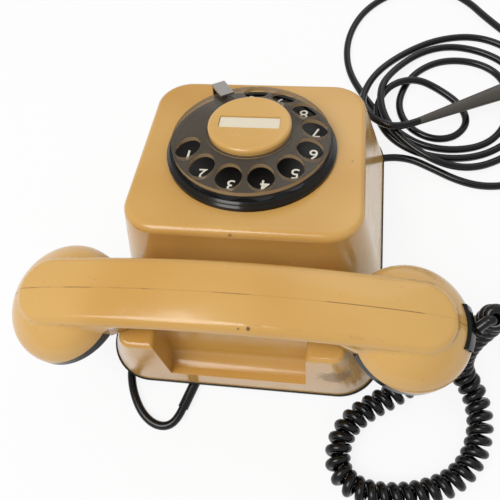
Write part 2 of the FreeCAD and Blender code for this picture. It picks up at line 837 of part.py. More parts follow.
def dial_movement():
    shaft_bore = sizes.shaft_radius + sizes.running_gap
    screw_hole = sizes.base_screw_radius / 2 + sizes.mounting_gap
    plate = new_body("movement_plate", dial)
    outline = new_sketch(plate, "XY", plate_face)
    draw_circle(outline, 0, 0, sizes.movement_plate_radius)
    draw_circle(outline, 0, 0, shaft_bore)
    draw_circle(outline, *pulse_spot, sizes.pulse_shaft_radius + sizes.running_gap)
    draw_circle(outline, *governor_spot, sizes.governor_shaft_radius + sizes.running_gap)
    for degrees in SCREW_TURNS:
        draw_circle(outline, *on_ring(screw_ring, degrees), screw_hole)
    pad(plate, outline, sizes.movement_plate)
    node("movement_plate", plate)

    bridge = new_body("movement_bridge", dial)
    outline = new_sketch(bridge, "XY", bridge_back)
    draw_circle(outline, 0, 0, sizes.bridge_radius)
    draw_circle(outline, 0, 0, shaft_bore)
    draw_circle(outline, *pulse_spot, sizes.pulse_shaft_radius + sizes.running_gap)
    draw_circle(outline, *governor_spot, sizes.governor_shaft_radius + sizes.running_gap)
    pad(bridge, outline, sizes.movement_plate)
    node("movement_bridge", bridge)

    node("movement_pillars", group("movement_pillars", *[
        rod(f"pillar_{index}", (*on_ring(sizes.pillar_circle, degrees), bridge_face), sizes.pillar_radius,
            sizes.bridge_gap, place=dial) for index, degrees in enumerate(PILLAR_TURNS)]))
    screws = []
    for index, degrees in enumerate(SCREW_TURNS):
        spot = on_ring(screw_ring, degrees)
        head = rod(f"dial_screw_head_{index}", (*spot, plate_face - sizes.base_screw_radius),
                   sizes.base_screw_radius, sizes.base_screw_radius, place=dial)
        shank = rod(f"dial_screw_shank_{index}", (*spot, plate_face), sizes.base_screw_radius / 2,
                    sizes.movement_plate + sizes.bezel_depth / 2, place=dial)
        screws.append(fuse(f"dial_screw_{index}", head, shank))
    node("dial_screws", group("dial_screws", *screws))

    turned("dial_bush", disc_outline(sizes.bush_radius, -sizes.bezel_depth,
                                     sizes.bush_height - sizes.bezel_depth,
                                     shaft_bore), dial)
    turned("dial_shaft", disc_outline(sizes.shaft_radius, bridge_back,
                                      sizes.wheel_crown_height - sizes.seat_gap), dial)
    node("drive_gear", gear("drive_gear", dial, sizes.drive_teeth, sizes.train_module, drive_low,
                            sizes.drive_thickness, sizes.shaft_radius + sizes.mounting_gap))
    turned("spring_case", disc_outline(sizes.spring_case_radius, bridge_face,
                                       bridge_face + sizes.spring_case_height,
                                       sizes.shaft_radius + sizes.seat_gap), dial)

    pulse = dial.multiply(Placement(vector(*pulse_spot, 0), Rotation()))
    pinion_low = drive_low - (sizes.pinion_thickness - sizes.drive_thickness) / 2
    half_tooth = 180.0 / sizes.pinion_teeth.number
    pinion = gear("pulse_pinion", pulse, sizes.pinion_teeth, sizes.train_module, pinion_low,
                  sizes.pinion_thickness,
                  sizes.pulse_shaft_radius + sizes.mounting_gap,
                  sizes.pulse_angle.number + 180.0 + half_tooth)
    node("pulse_pinion", pinion)
    turned("pulse_spindle", disc_outline(sizes.pulse_shaft_radius, bridge_back, -sizes.bezel_depth), pulse)
    cam_low = pinion_low - sizes.cam_thickness * 2
    cam = new_body("pulse_cam", pulse)
    outline = new_sketch(cam, "XY", cam_low)
    draw(outline, [(sizes.cam_radius, 0), (0, sizes.cam_waist, sizes.cam_radius * 1.2),
                   (-sizes.cam_radius, 0, sizes.cam_radius * 1.2),
                   (0, -sizes.cam_waist, sizes.cam_radius * 1.2),
                   (sizes.cam_radius, 0, sizes.cam_radius * 1.2)][1:])
    draw_circle(outline, 0, 0, sizes.pulse_shaft_radius + sizes.mounting_gap)
    pad(cam, outline, sizes.cam_thickness)
    node("pulse_cam", cam)
    wheel_low = cam_low - sizes.cam_thickness * 2
    node("governor_gear", gear("governor_gear", pulse, sizes.governor_gear_teeth, sizes.governor_module,
                               wheel_low,
                               sizes.cam_thickness, sizes.pulse_shaft_radius + sizes.mounting_gap,
                               sizes.governor_angle.number))

    governor = dial.multiply(Placement(vector(*governor_spot, 0), Rotation()))
    half_tooth = 180.0 / sizes.governor_pinion_teeth.number
    node("governor_pinion", gear(
        "governor_pinion", governor, sizes.governor_pinion_teeth, sizes.governor_module,
        wheel_low - sizes.leaf_overlap,
        sizes.cam_thickness + sizes.leaf_overlap * 2, sizes.governor_shaft_radius + sizes.mounting_gap,
        sizes.governor_angle.number + 180.0 + half_tooth))
    drum_low = bridge_back - sizes.governor_drum_depth
    turned("governor_spindle", disc_outline(sizes.governor_shaft_radius, drum_low, -sizes.bezel_depth),
           governor)
    drum_bore = sizes.governor_drum_radius - sizes.governor_drum_wall
    turned("governor_drum", disc_outline(sizes.governor_drum_radius, drum_low, bridge_back, drum_bore),
           governor)
    reach = drum_bore - sizes.seat_gap
    rotor_low = drum_low + sizes.governor_drum_depth / 4
    disc = rod("rotor_disc", (0, 0, rotor_low), reach, sizes.governor_drum_depth / 2, place=governor)
    arm = block("rotor_arm", (-reach, -reach / 3, rotor_low),
                (reach * 2, reach * 2 / 3, sizes.governor_drum_depth / 2),
                governor)
    bore = rod("rotor_bore", (0, 0, rotor_low), sizes.governor_shaft_radius + sizes.mounting_gap,
               sizes.governor_drum_depth / 2, place=governor)
    node("governor_rotor", cut("governor_rotor", common("rotor_form", disc, arm), bore))

    contact = dial.multiply(Placement(Vector(), Rotation(UP, sizes.pulse_angle.number)))
    leaf = train_distance + sizes.cam_radius + sizes.seat_gap * 2
    spring = block("contact_leaf", (leaf, -sizes.leaf_length / 2, cam_low - sizes.leaf_overlap),
                   (sizes.leaf_thickness, sizes.leaf_length, sizes.cam_thickness + sizes.leaf_overlap * 2),
                   contact)
    stack_low = cam_low - sizes.leaf_overlap * 2
    stack = block("contact_stack", (leaf + sizes.leaf_thickness, -sizes.stack_length / 2, stack_low),
                  (sizes.stack_depth, sizes.stack_length, plate_face - stack_low), contact)
    node("pulse_contacts", fuse("pulse_contacts", spring, stack))


# Handset: hollow grip with a cup at each end, screw caps, capsules and the cord clip
handle_bend = (sizes.handset_length * sizes.handset_length / 4
               + (sizes.handle_crown - sizes.handle_tip) * (sizes.handle_crown - sizes.handle_tip)) / (
                   (sizes.handle_crown - sizes.handle_tip) * 2)
under_sag = sizes.handle_under - sizes.handle_seat
under_bend = (sizes.seat_half_span * sizes.seat_half_span + under_sag * under_sag) / (under_sag * 2)


def under_handle(across):
    """Height of the grip's underside at a distance from the middle plane."""
    bend = under_bend.number
    middle = sizes.cradle_height + sizes.handle_under
    return middle.number - bend + math.sqrt(bend * bend - float(across) ** 2)


def cup_place(side):
    """Frame of a cup: its rim in the local XY plane, its dome above."""
    return Placement(vector(side * sizes.cup_x, sizes.handset_y, sizes.cradle_height + sizes.cup_z),
                     Rotation(ALONG_Y, side * sizes.cup_tilt.number))


def dome_outline(inset, low=0.0):
    """Half section of a cup's dome: a tight shoulder that runs into a flatter crown."""
    radius, height, shoulder = sizes.cup_radius - inset, sizes.cup_height - inset, sizes.cup_shoulder - inset
    reach = radius - shoulder
    crown = (reach * reach + height * height - shoulder * shoulder) / ((height - shoulder) * 2)
    share = shoulder / (crown - shoulder)
    skirt = [(0, low), (radius, low)] if low else [(0, 0)]
    return skirt + [(radius, 0), (reach + share * reach, share * (crown - height), shoulder),
                    (0, height, crown)]


def plain_turn(name, points, place):
    """A turned form that is only used to build another piece."""
    body = new_body(name, place)
    revolve(body, points)
    return body


def handset():
    half_width, half_length = sizes.handle_width / 2, sizes.handset_length / 2
    edge, fall = sizes.handle_edge, sizes.handle_ridge / half_width
    cosine = 1 / root(fall * fall + 1)
    shoulder = handle_bend - (half_width - edge) * fall - edge / cosine
    touch = (half_width - edge + edge * fall * cosine, shoulder + edge * cosine)
    deep = handle_bend - sizes.handle_crown + sizes.cup_z - sizes.cup_radius
    half_section = [(0, deep), (half_width, deep), (half_width, shoulder), (*touch, edge), (0, handle_bend)]
    section = half_section[1:] + [(-touch[0], touch[1]), (-half_width, shoulder, edge), (-half_width, deep)]
    pivot = vector(0, sizes.handset_y, sizes.cradle_height + sizes.handle_crown - handle_bend)
    reach = (half_length.number - half_width.number) / handle_bend.number
    half_turn = math.degrees(math.asin(reach))

    def spin(name, points, tilt, axis, degrees, symmetric):
        """Turn a section of the grip, set at a tilt on its long bend, about an axis of that section."""
        frame = Placement(pivot, Rotation(ALONG_Y, tilt))
        turn = doc.addObject("Part::Revolution", name)
        turn.Source = flat_sketch(f"{name}_section", points, frame.multiply(SIDE_VIEW))
        turn.Base = pivot
        turn.Axis = frame.Rotation.multVec(axis)
        turn.Angle = degrees
        turn.Symmetric = symmetric
        turn.Solid = True
        return turn

    middle = spin("grip_middle", section, 0.0, ALONG_Y, half_turn * 2, True)
    ends = [spin("grip_end_left", half_section, -half_turn, UP, 180.0, False),
            spin("grip_end_right", half_section, half_turn, -UP, 180.0, False)]
    over, span = sizes.seat_gap * 10, sizes.seat_half_span
    side_face = vector(0, sizes.handset_y + half_width + over, sizes.cradle_height)
    side_place = Placement(side_face, Rotation()).multiply(FRONT_VIEW)
    rise = (sizes.handle_tip_under - sizes.handle_seat) / (half_length - span) * over
    side = prism("grip_side", [
        (-half_length - over, sizes.handle_tip_under + rise), (-span, sizes.handle_seat),
        (span, sizes.handle_seat, -under_bend), (half_length + over, sizes.handle_tip_under + rise),
        (half_length + over, sizes.handle_crown + over), (-half_length - over, sizes.handle_crown + over)],
        Vector(0, -1, 0), sizes.handle_width + over * 2, side_place)
    grip = common("grip_form", fuse("grip_sweep", middle, *ends), side)
    cups = [plain_turn(f"cup_{side}", dome_outline(as_size(0)), cup_place(side)) for side in (-1, 1)]
    swing = sizes.cup_radius + sizes.seat_gap
    room = [(0, -sizes.cap_depth * 2), (swing, -sizes.cap_depth * 2),
            (swing, 0)] + dome_outline(sizes.cup_wall)[1:]
    rooms = [plain_turn(f"cup_room_{side}", room, cup_place(side)) for side in (-1, 1)]
    node("handset_body", cut("handset_body", fuse("handset_form", grip, *cups), *rooms))

    for side, label, count in ((1, "ear_cap", sizes.ear_hole_count),
                               (-1, "mouth_cap", sizes.mouth_hole_count)):
        cap = new_body(label, cup_place(side))
        collar = sizes.cup_radius - sizes.cup_wall - sizes.seat_gap * 2
        depth, face = sizes.cap_depth, sizes.cap_face_radius
        floor = sizes.cap_wall - depth + sizes.cap_dish
        revolve(cap, [
            (0, sizes.cap_dish - depth), (face, -depth), (sizes.cup_radius, -depth / 2, sizes.cap_round),
            (sizes.cup_radius, 0),
            (collar, 0), (collar, sizes.cap_collar), (collar - sizes.cap_wall, sizes.cap_collar),
            (collar - sizes.cap_wall, floor), (0, floor)])
        middle = new_sketch(cap, "XY", floor)
        draw_circle(middle, 0, 0, sizes.cap_hole_radius)
        pocket(cap, middle, sizes.cap_wall * 2)
        hole = new_sketch(cap, "XY", floor)
        draw_circle(hole, sizes.cap_hole_circle, 0, sizes.cap_hole_radius)
        polar(cap, pocket(cap, hole, sizes.cap_wall * 2), hole, int(count.number))
        node(label, cap)
        capsule = "receiver_capsule" if side > 0 else "microphone_capsule"
        step = sizes.capsule_radius - sizes.cap_wall
        turned(capsule, [(0, floor), (sizes.capsule_radius, floor),
                         (sizes.capsule_radius, floor + sizes.capsule_height / 2),
                         (step, floor + sizes.capsule_height / 2), (step, floor + sizes.capsule_height),
                         (0, floor + sizes.capsule_height)], cup_place(side))

    wrap = plain_turn("clip_wrap", dome_outline(-sizes.clip_thickness), cup_place(-1))
    hug = plain_turn("clip_hug", dome_outline(as_size(0), -sizes.clip_thickness), cup_place(-1))
    window = block("clip_window", (-half_length - sizes.cup_height, sizes.handset_y - sizes.clip_width / 2,
                                   sizes.cradle_height + sizes.clip_low),
                   (sizes.cup_height * 2, sizes.clip_width, sizes.clip_height))
    node("cord_clip", common("cord_clip", cut("clip_band", wrap, hug), window))


# Cradle switch: two plungers under the grip, a rocking lever and a contact stack
def cradle_switch():
    travel = sizes.plunger_travel
    head = as_size(under_handle(sizes.plunger_x)) - sizes.seat_gap
    foot = head - sizes.plunger_length
    catch = sizes.cradle_height - sizes.wall - travel - sizes.seat_gap
    for side, label in ((-1, "plunger_left"), (1, "plunger_right")):
        turned(label, [
            (0, foot), (sizes.plunger_radius, foot), (sizes.plunger_radius, catch - sizes.wall / 2),
            (sizes.plunger_flange, catch - sizes.wall / 2), (sizes.plunger_flange, catch),
            (sizes.plunger_radius, catch),
            (sizes.plunger_radius, head - sizes.wall / 2),
            (sizes.plunger_radius - sizes.wall / 2, head, sizes.wall / 2), (0, head)],
            Placement(vector(side * sizes.plunger_x, sizes.handset_y, 0), Rotation()))

    top = foot - sizes.seat_gap
    low = top - sizes.lever_thickness
    pivot = low + sizes.lever_thickness / 2
    narrow = sizes.bracket_half_width - sizes.bracket_thickness - sizes.seat_gap * 2
    wide = sizes.plunger_x + sizes.plunger_radius
    shoulder = sizes.lever_pivot_y + sizes.bracket_depth / 2 + sizes.seat_gap * 6
    bar = sizes.handset_y - sizes.plunger_radius
    tip = sizes.handset_y + sizes.plunger_radius
    ear = sizes.plunger_x - sizes.plunger_radius
    blade = new_body("lever_blade")
    outline = new_sketch(blade, "XY", low)
    draw(outline, [
        (-narrow, sizes.lever_pivot_y), (narrow, sizes.lever_pivot_y), (narrow, shoulder), (wide, shoulder),
        (wide, tip), (ear, tip), (ear, bar), (-ear, bar), (-ear, tip), (-wide, tip), (-wide, shoulder),
        (-narrow, shoulder)])
    pad(blade, outline, sizes.lever_thickness)
    knuckle = rod("lever_knuckle", (-narrow, sizes.lever_pivot_y, pivot), sizes.lever_pivot_radius * 2,
                  narrow * 2, ALONG_X)
    bore = rod("lever_bore", (-wide, sizes.lever_pivot_y, pivot),
               sizes.lever_pivot_radius + sizes.running_gap, wide * 2, ALONG_X)
    node("hook_lever", cut("hook_lever", fuse("lever_form", blade, knuckle), bore))
    node("lever_pin", rod("lever_pin", (-sizes.bracket_half_width, sizes.lever_pivot_y, pivot),
                          sizes.lever_pivot_radius,
                          sizes.bracket_half_width * 2, ALONG_X))

    thick, half = sizes.bracket_thickness, sizes.bracket_half_width
    front = sizes.lever_pivot_y - sizes.bracket_depth / 2
    height = pivot + sizes.lever_pivot_radius * 3 - plate_top
    floor = block("bracket_floor", (-half, front, plate_top), (half * 2, sizes.bracket_depth, thick))
    cheeks = [block(f"bracket_cheek_{index}", (start, front, plate_top), (thick, sizes.bracket_depth, height))
              for index, start in enumerate((-half, half - thick))]
    hole = rod("bracket_bore", (-half, sizes.lever_pivot_y, pivot),
               sizes.lever_pivot_radius + sizes.mounting_gap,
               half * 2, ALONG_X)
    node("lever_bracket", cut("lever_bracket", fuse("bracket_form", floor, *cheeks), hole))

    stack_y = sizes.lever_pivot_y + sizes.bracket_depth + sizes.bracket_thickness
    stack_top = low - sizes.seat_gap - sizes.switch_leaf_height
    leaf_y = stack_y + sizes.bracket_thickness
    leaf_x = -(sizes.switch_leaf_pitch * (sizes.switch_leaf_count - 1) + sizes.switch_leaf_width) / 2
    stack = block("switch_stack", (-sizes.switch_width / 2, stack_y, plate_top),
                  (sizes.switch_width, sizes.switch_depth, stack_top - plate_top))
    leaves = [block(f"switch_leaf_{index}", (leaf_x + index * sizes.switch_leaf_pitch, leaf_y, stack_top),
                    (sizes.switch_leaf_width, sizes.switch_leaf_thickness, sizes.switch_leaf_height))
              for index in range(int(sizes.switch_leaf_count.number))]
    node("hook_switch", fuse("hook_switch", stack, *leaves))


# Ringer: two gongs on posts, a coil in its frame and a rocking clapper
def ringer():
    top = sizes.gong_z + sizes.gong_height
    posts = []
    nuts = []
    for side, label in ((-1, "gong_left"), (1, "gong_right")):
        place = Placement(vector(side * sizes.gong_x, sizes.gong_y, 0), Rotation())
        stud = sizes.gong_post_radius / 2
        wall, rim, crown = sizes.gong_wall, sizes.gong_radius, sizes.gong_crown
        turned(label, [
            (stud + sizes.mounting_gap, top - wall), (crown, top - wall),
            (rim - wall, sizes.gong_z, -sizes.gong_round),
            (rim, sizes.gong_z), (crown, top, sizes.gong_round + wall), (stud + sizes.mounting_gap, top)],
            place)
        posts.append(plain_turn(f"gong_post_{side}", [
            (0, plate_top), (sizes.gong_post_radius, plate_top), (sizes.gong_post_radius, top - wall),
            (stud, top - wall), (stud, top + wall * 2), (0, top + wall * 2)], place))
        nuts.append(plain_turn(f"gong_nut_{side}", disc_outline(
            sizes.gong_post_radius, top, top + wall * 2, stud + sizes.mounting_gap), place))
    node("gong_posts", group("gong_posts", *posts))
    node("gong_nuts", group("gong_nuts", *nuts))

    half, thick = sizes.coil_length / 2, sizes.bracket_thickness
    reach = half + sizes.seat_gap + thick
    deep = sizes.ringer_half_depth
    floor = block("ringer_floor", (-reach, sizes.coil_y - deep, plate_top), (reach * 2, deep * 2, thick))
    cheeks = [block(f"ringer_cheek_{index}", (start, sizes.coil_y - deep, plate_top),
                    (thick, deep * 2, sizes.coil_z + sizes.ringer_cheek_rise - plate_top))
              for index, start in enumerate((-reach, reach - thick))]
    core = rod("ringer_core", (-reach, sizes.coil_y, sizes.coil_z), sizes.core_radius, reach * 2, ALONG_X)
    tongue_front = sizes.clapper_pivot_y - sizes.tongue_width / 2
    tongue = block("ringer_tongue", (-sizes.tongue_width / 2, tongue_front, plate_top),
                   (sizes.tongue_width, sizes.coil_y - deep - tongue_front + thick / 2, thick))
    pin = rod("clapper_pin", (0, sizes.clapper_pivot_y, plate_top), sizes.clapper_rod,
              sizes.coil_z + sizes.clapper_height / 2 + sizes.clapper_rod - plate_top)
    node("ringer_frame", fuse("ringer_frame", floor, *cheeks, core, tongue, pin))
    coil = new_body("ringer_coil", Placement(vector(-half, sizes.coil_y, sizes.coil_z),
                                             Rotation(UP, ALONG_X)))
    flange, core_bore = sizes.coil_flange, sizes.core_radius + sizes.mounting_gap
    wound = sizes.coil_radius - sizes.coil_flange_rise
    revolve(coil, [(core_bore, 0), (sizes.coil_radius, 0), (sizes.coil_radius, flange), (wound, flange),
                   (wound, sizes.coil_length - flange), (sizes.coil_radius, sizes.coil_length - flange),
                   (sizes.coil_radius, sizes.coil_length), (core_bore, sizes.coil_length)])
    node("ringer_coil", coil)

    low = sizes.coil_z - sizes.clapper_height / 2
    hub = rod("clapper_hub", (0, sizes.clapper_pivot_y, low), sizes.clapper_hub, sizes.clapper_height)
    arm = rod("clapper_arm", (0, sizes.clapper_pivot_y, sizes.coil_z), sizes.clapper_rod,
              sizes.clapper_pivot_y - sizes.gong_y,
              Vector(0, -1, 0))
    ball = doc.addObject("Part::Sphere", "clapper_ball")
    bind(ball, Radius=sizes.clapper_ball)
    ball.Placement = Placement(vector(0, sizes.gong_y, sizes.coil_z), Rotation())
    tail = block("clapper_tail", (-sizes.clapper_tail_width / 2,
                                  sizes.clapper_pivot_y + sizes.clapper_rod * 1.5, low),
                 (sizes.clapper_tail_width, sizes.clapper_tail_thickness, sizes.clapper_height))
    bore = rod("clapper_bore", (0, sizes.clapper_pivot_y, low), sizes.clapper_rod + sizes.running_gap,
               sizes.clapper_height)
    node("clapper", cut("clapper", fuse("clapper_form", hub, arm, ball, tail), bore))


# Circuit: printed board on the base plate's standoffs, with its larger components
def circuit():
    low = plate_top + sizes.standoff_height
    top = low + sizes.board_thickness
    node("circuit_board", block("circuit_board", (-sizes.board_length / 2,
                                                  sizes.board_y - sizes.board_width / 2, low),
                                (sizes.board_length, sizes.board_width, sizes.board_thickness)))
    left = sizes.transformer_margin - sizes.board_length / 2
    core = block("transformer_core", (left, sizes.board_y - sizes.transformer_width / 2, top),
                 (sizes.transformer_length, sizes.transformer_width, sizes.transformer_height))
    middle = left + sizes.transformer_length / 2
    winding = rod("transformer_winding", (
        middle, sizes.board_y - sizes.transformer_width / 2 - sizes.transformer_margin,
        top + sizes.transformer_height / 2),
        sizes.winding_radius, sizes.transformer_width + sizes.transformer_margin * 2, ALONG_Y)
    node("transformer", fuse("transformer", core, winding))
    node("capacitor", rod("capacitor", (
        sizes.capacitor_x, sizes.board_y + sizes.capacitor_offset, top + sizes.capacitor_radius),
        sizes.capacitor_radius,
        sizes.capacitor_length, ALONG_X))
    strip_y = sizes.board_y - sizes.board_width / 2 + sizes.terminal_margin
    strip = block("terminal_strip", (sizes.terminal_x, strip_y, top),
                  (sizes.terminal_length, sizes.terminal_width, sizes.terminal_height))
    wells = [rod(f"terminal_well_{index}", (
        sizes.terminal_x + (index + 0.5) * sizes.terminal_pitch, strip_y + sizes.terminal_width / 2,
        top + sizes.terminal_height / 2), sizes.terminal_well, sizes.terminal_height)
             for index in range(int(sizes.terminal_count.number))]
    node("terminal_block", cut("terminal_block", strip, *wells))


# Cords: chosen by hand as they lie, in millimetres; the flexible line to the wall and the curly handset cord
LINE_ROUTE = [
    # out of the sleeve, round the corner and under the base
    (33.2, 101.5, 3.2), (35.4, 108.1, 3.2), (41, 112.8, 2.9), (49, 112.2, 2.6), (56.5, 107, 2.6),
    (62, 99.5, 2.6), (66, 91, 2.6), (68.5, 81, 2.6), (66.5, 69, 2.6), (59, 57, 2.6), (46.8, 41.1, 2.6),
    (28.8, 19.7, 2.6), (8.1, -3.4, 2.6), (-13.4, -25.7, 2.6), (-35, -46.5, 2.6), (-56.4, -64.5, 2.6),
    (-76, -76.5, 2.6), (-96, -77.5, 2.6),
    # widest loop
    (-113, -69, 2.6), (-128, -61, 2.6), (-144, -57, 2.6), (-161, -59, 2.6), (-178, -67, 2.6),
    (-193, -81, 2.6), (-202, -102, 2.6), (-205, -126, 2.6), (-199, -149, 2.6), (-187, -169, 2.6),
    (-169, -187, 2.6), (-153, -205, 2.6), (-141, -221, 2.6), (-122, -234, 2.6), (-98, -234, 2.6),
    (-78, -224, 2.6), (-63, -209, 2.6), (-54, -190, 2.6), (-51, -170, 2.6), (-54, -149, 2.6),
    (-65, -128, 2.6), (-79, -108, 2.6), (-95, -93, 2.6),
    # second loop
    (-110, -86, 2.6), (-128, -84.5, 2.6), (-146, -89, 2.6), (-158, -100, 2.6), (-165, -117, 2.6),
    (-166, -136, 2.6), (-158, -153, 2.6), (-141, -162, 2.6), (-120, -162, 2.6), (-103, -152, 2.6),
    (-93, -137, 2.6), (-89, -119, 2.6), (-96, -102, 2.6),
    # small loop over it
    (-112, -92.5, 2.6), (-128, -95, 2.6), (-137, -108, 2.6), (-132, -123, 2.6), (-118, -134, 4.5),
    (-102, -140, 8.4), (-86, -136, 8.6), (-76, -123.5, 8.6), (-73.5, -107, 8.6), (-83, -90.5, 6.4),
    # third loop
    (-101, -80.5, 4.0), (-121, -77, 3.2), (-142, -79.5, 3.0), (-160, -90, 2.6), (-172, -105, 2.6),
    (-177, -124, 2.6), (-175, -144, 2.6), (-165, -161, 2.6), (-147, -172, 2.6), (-125, -176, 2.6),
    (-104, -168, 3.6), (-85, -147, 8.6), (-75, -126, 14.6), (-77.5, -103, 14.4), (-91, -84.5, 11.8),
    # fourth loop, up to the plug's boot on top
    (-115, -69.5, 9.2), (-137, -68.5, 5.5), (-158, -79, 2.6), (-175, -94, 2.6), (-186, -113, 2.6),
    (-189, -135, 2.6), (-184, -156, 2.6), (-169, -175, 2.6), (-145, -186, 2.6), (-117, -182, 2.6),
    (-92, -167, 3.2), (-72, -144, 8.4), (-63, -121, 10), (-66, -105, 15), (-75, -94, 18.9),
    (-88, -90, 18.4), (-101.5, -96.8, 17.8),
]
SLEEVE_START = (20.3, 63.0, 3.2)
HANDSET_ROUTE = [
    # out of the grommet and down to the table
    (-84.5, 45, 15), (-92, 45, 14.6), (-99.5, 47, 12), (-105, 52.5, 9), (-106.5, 60.5, 7), (-103.5, 68.5, 7),
    (-98, 75.3, 7), (-91, 81, 7), (-83.2, 86.5, 7), (-75.4, 91.4, 7), (-68, 97, 7), (-61.5, 104, 7),
    (-57.7, 113, 7), (-57, 124, 7),
    # round behind the telephone
    (-62, 133, 7), (-72, 138, 7), (-84, 138.5, 7), (-97, 136.5, 7), (-109, 132.5, 7), (-119, 126.5, 7),
    (-127, 118, 7), (-132, 107, 7), (-134, 95, 7), (-133.5, 83, 7), (-131.5, 72, 9),
    # up to the handset's end
    (-130.3, 65, 16), (-129.7, 61.5, 26), (-129.6, 60.3, 36), (-130, 60.9, 46), (-130.5, 61.8, 55.5),
    (-130.2, 62.6, 64), (-128.3, 63.2, 70.5), (-124.5, 63.4, 75), (-117, 63.4, 75),
]
ROUTE_ARC = 0.45                 # share of the shorter run that each corner's arc takes up
POINTS_PER_CURL = 24


def route_edges(route):
    """Straight runs joined by tangent arcs, each as large as its two runs allow; also the radii."""
    points = [Vector(*point) for point in route]
    edges = []
    radii = []
    start = points[0]
    for before, corner, after in zip(points, points[1:], points[2:]):
        arrive = (corner - before).normalize()
        leave = (after - corner).normalize()
        reach = ROUTE_ARC * min((corner - before).Length, (after - corner).Length)
        first, last = corner - arrive * reach, corner + leave * reach
        turn = arrive.getAngle(leave)
        edges.append(Part.LineSegment(start, first).toShape())
        edges.append(tangent_arc(first, corner, last))
        radii.append(reach / math.tan(turn / 2))
        start = last
    edges.append(Part.LineSegment(start, points[-1]).toShape())
    return edges, radii


def tangent_arc(first, corner, last):
    """The arc that leaves first towards corner and reaches last from it."""
    middle = (first + last) * 0.5
    half = (last - first).Length / 2
    height = (corner - middle).Length
    if height < 1e-4:
        return Part.LineSegment(first, last).toShape()
    sag = half * math.tan(math.atan2(height, half) / 2)
    return Part.Arc(first, middle + (corner - middle) * (sag / height), last).toShape()


def tube(label, edges, radius, sides):
    """One unbroken solid of a many-sided section along edges, checked against section times length."""
    wire = Part.Wire(edges)
    start = edges[0].valueAt(edges[0].FirstParameter)
    heading = edges[0].tangentAt(edges[0].FirstParameter)
    across = heading.cross(UP if abs(heading.z) < 0.9 else ALONG_X).normalize()
    over = heading.cross(across)
    reach = radius * math.sqrt(2 * math.pi / (sides * math.sin(2 * math.pi / sides)))
    corners = [start + across * (reach * math.cos(2 * math.pi * side / sides))
               + over * (reach * math.sin(2 * math.pi * side / sides)) for side in range(sides)]
    solid = wire.makePipeShell([Part.makePolygon(corners + corners[:1])], True, False)
    expected = math.pi * radius * radius * wire.Length
    print(label, "length", round(wire.Length, 1), "volume over expected", round(solid.Volume / expected, 3))
    piece = doc.addObject("Part::Feature", label)
    piece.Shape = solid
    return node(label, piece)


def line_cord():
    edges, radii = route_edges(LINE_ROUTE)
    print("line cord radii", [round(radius, 1) for radius in radii])
    tube("line_cord", edges, sizes.line_radius.number, 6)
    start = Vector(*SLEEVE_START)
    heading = Vector(*LINE_ROUTE[0]) - start
    length = heading.Length
    heading.normalize()
    node("line_cord_sleeve", rod("line_cord_sleeve", start, sizes.sleeve_radius, length, heading))
    seat = Placement(start, Rotation(ALONG_X, heading))
    node("line_cord_gland", block("line_cord_gland", (
        -sizes.gland_size, -sizes.gland_size / 2, sizes.seat_gap - start.z),
        (sizes.gland_size, sizes.gland_size, plate_low - sizes.seat_gap), seat))

    end = Vector(*LINE_ROUTE[-1])
    ahead = (end - Vector(*LINE_ROUTE[-2])).normalize()
    boot = doc.addObject("Part::Cone", "plug_boot")
    bind(boot, Radius1=sizes.line_radius, Radius2=sizes.boot_end_radius, Height=sizes.boot_length)
    boot.Placement = Placement(end, Rotation(UP, ahead))
    node("plug_boot", boot)
    level = Rotation(ALONG_X, ahead)
    face = Placement(end + ahead * sizes.boot_length.number, level)
    shell = block("plug_shell", (0, -sizes.plug_width / 2, -sizes.plug_thickness / 2),
                  (sizes.plug_length, sizes.plug_width, sizes.plug_thickness), face)
    node("plug_body", rounded_edges("plug_body", shell, sizes.plug_round, lambda edge: edge.Length > 0))
    node("plug_pins", group("plug_pins", *[
        rod(f"plug_pin_{side}", (sizes.plug_length, side * sizes.pin_spacing / 2, 0), sizes.pin_radius,
            sizes.pin_length,
            ALONG_X, face) for side in (-1, 1)]))


def helix_points(edges, radius, pitch, lead):
    """Points of a helix about a route: straight for one lead at each end, then swelling to its radius."""
    wire = Part.Wire(edges)
    curls = round((wire.Length - lead * 2) / pitch)
    count = curls * POINTS_PER_CURL
    line = wire.discretize(Number=count + 1)
    normal = (line[1] - line[0]).cross(UP).normalize()
    helix = []
    for index, point in enumerate(line):
        ahead = (line[min(index + 1, count)] - line[max(index - 1, 0)]).normalize()
        normal = (normal - ahead * normal.dot(ahead)).normalize()
        side = ahead.cross(normal)
        along = wire.Length * index / count
        swell = min(max((min(along, wire.Length - along) - lead) / (pitch * 1.5), 0.0), 1.0)
        reach = radius * swell * swell * (3 - 2 * swell)
        turn = 2 * math.pi * index / POINTS_PER_CURL
        helix.append(point + normal * (reach * math.cos(turn)) + side * (reach * math.sin(turn)))
    return helix, curls


def biarc(start, heading, end, arrival):
    """Two arcs that leave start along heading and meet end along arrival."""
    chord = end - start
    total = heading + arrival
    bend = 2 * (1 - heading.dot(arrival))
    along = chord.dot(total)
    if bend < 1e-6:
        reach = chord.dot(chord) / (4 * chord.dot(arrival))
    else:
        reach = (math.sqrt(along * along + bend * chord.dot(chord)) - along) / bend
    first, last = start + heading * reach, end - arrival * reach
    join = (first + last) * 0.5
    return [tangent_arc(start, first, join), tangent_arc(join, last, end)]


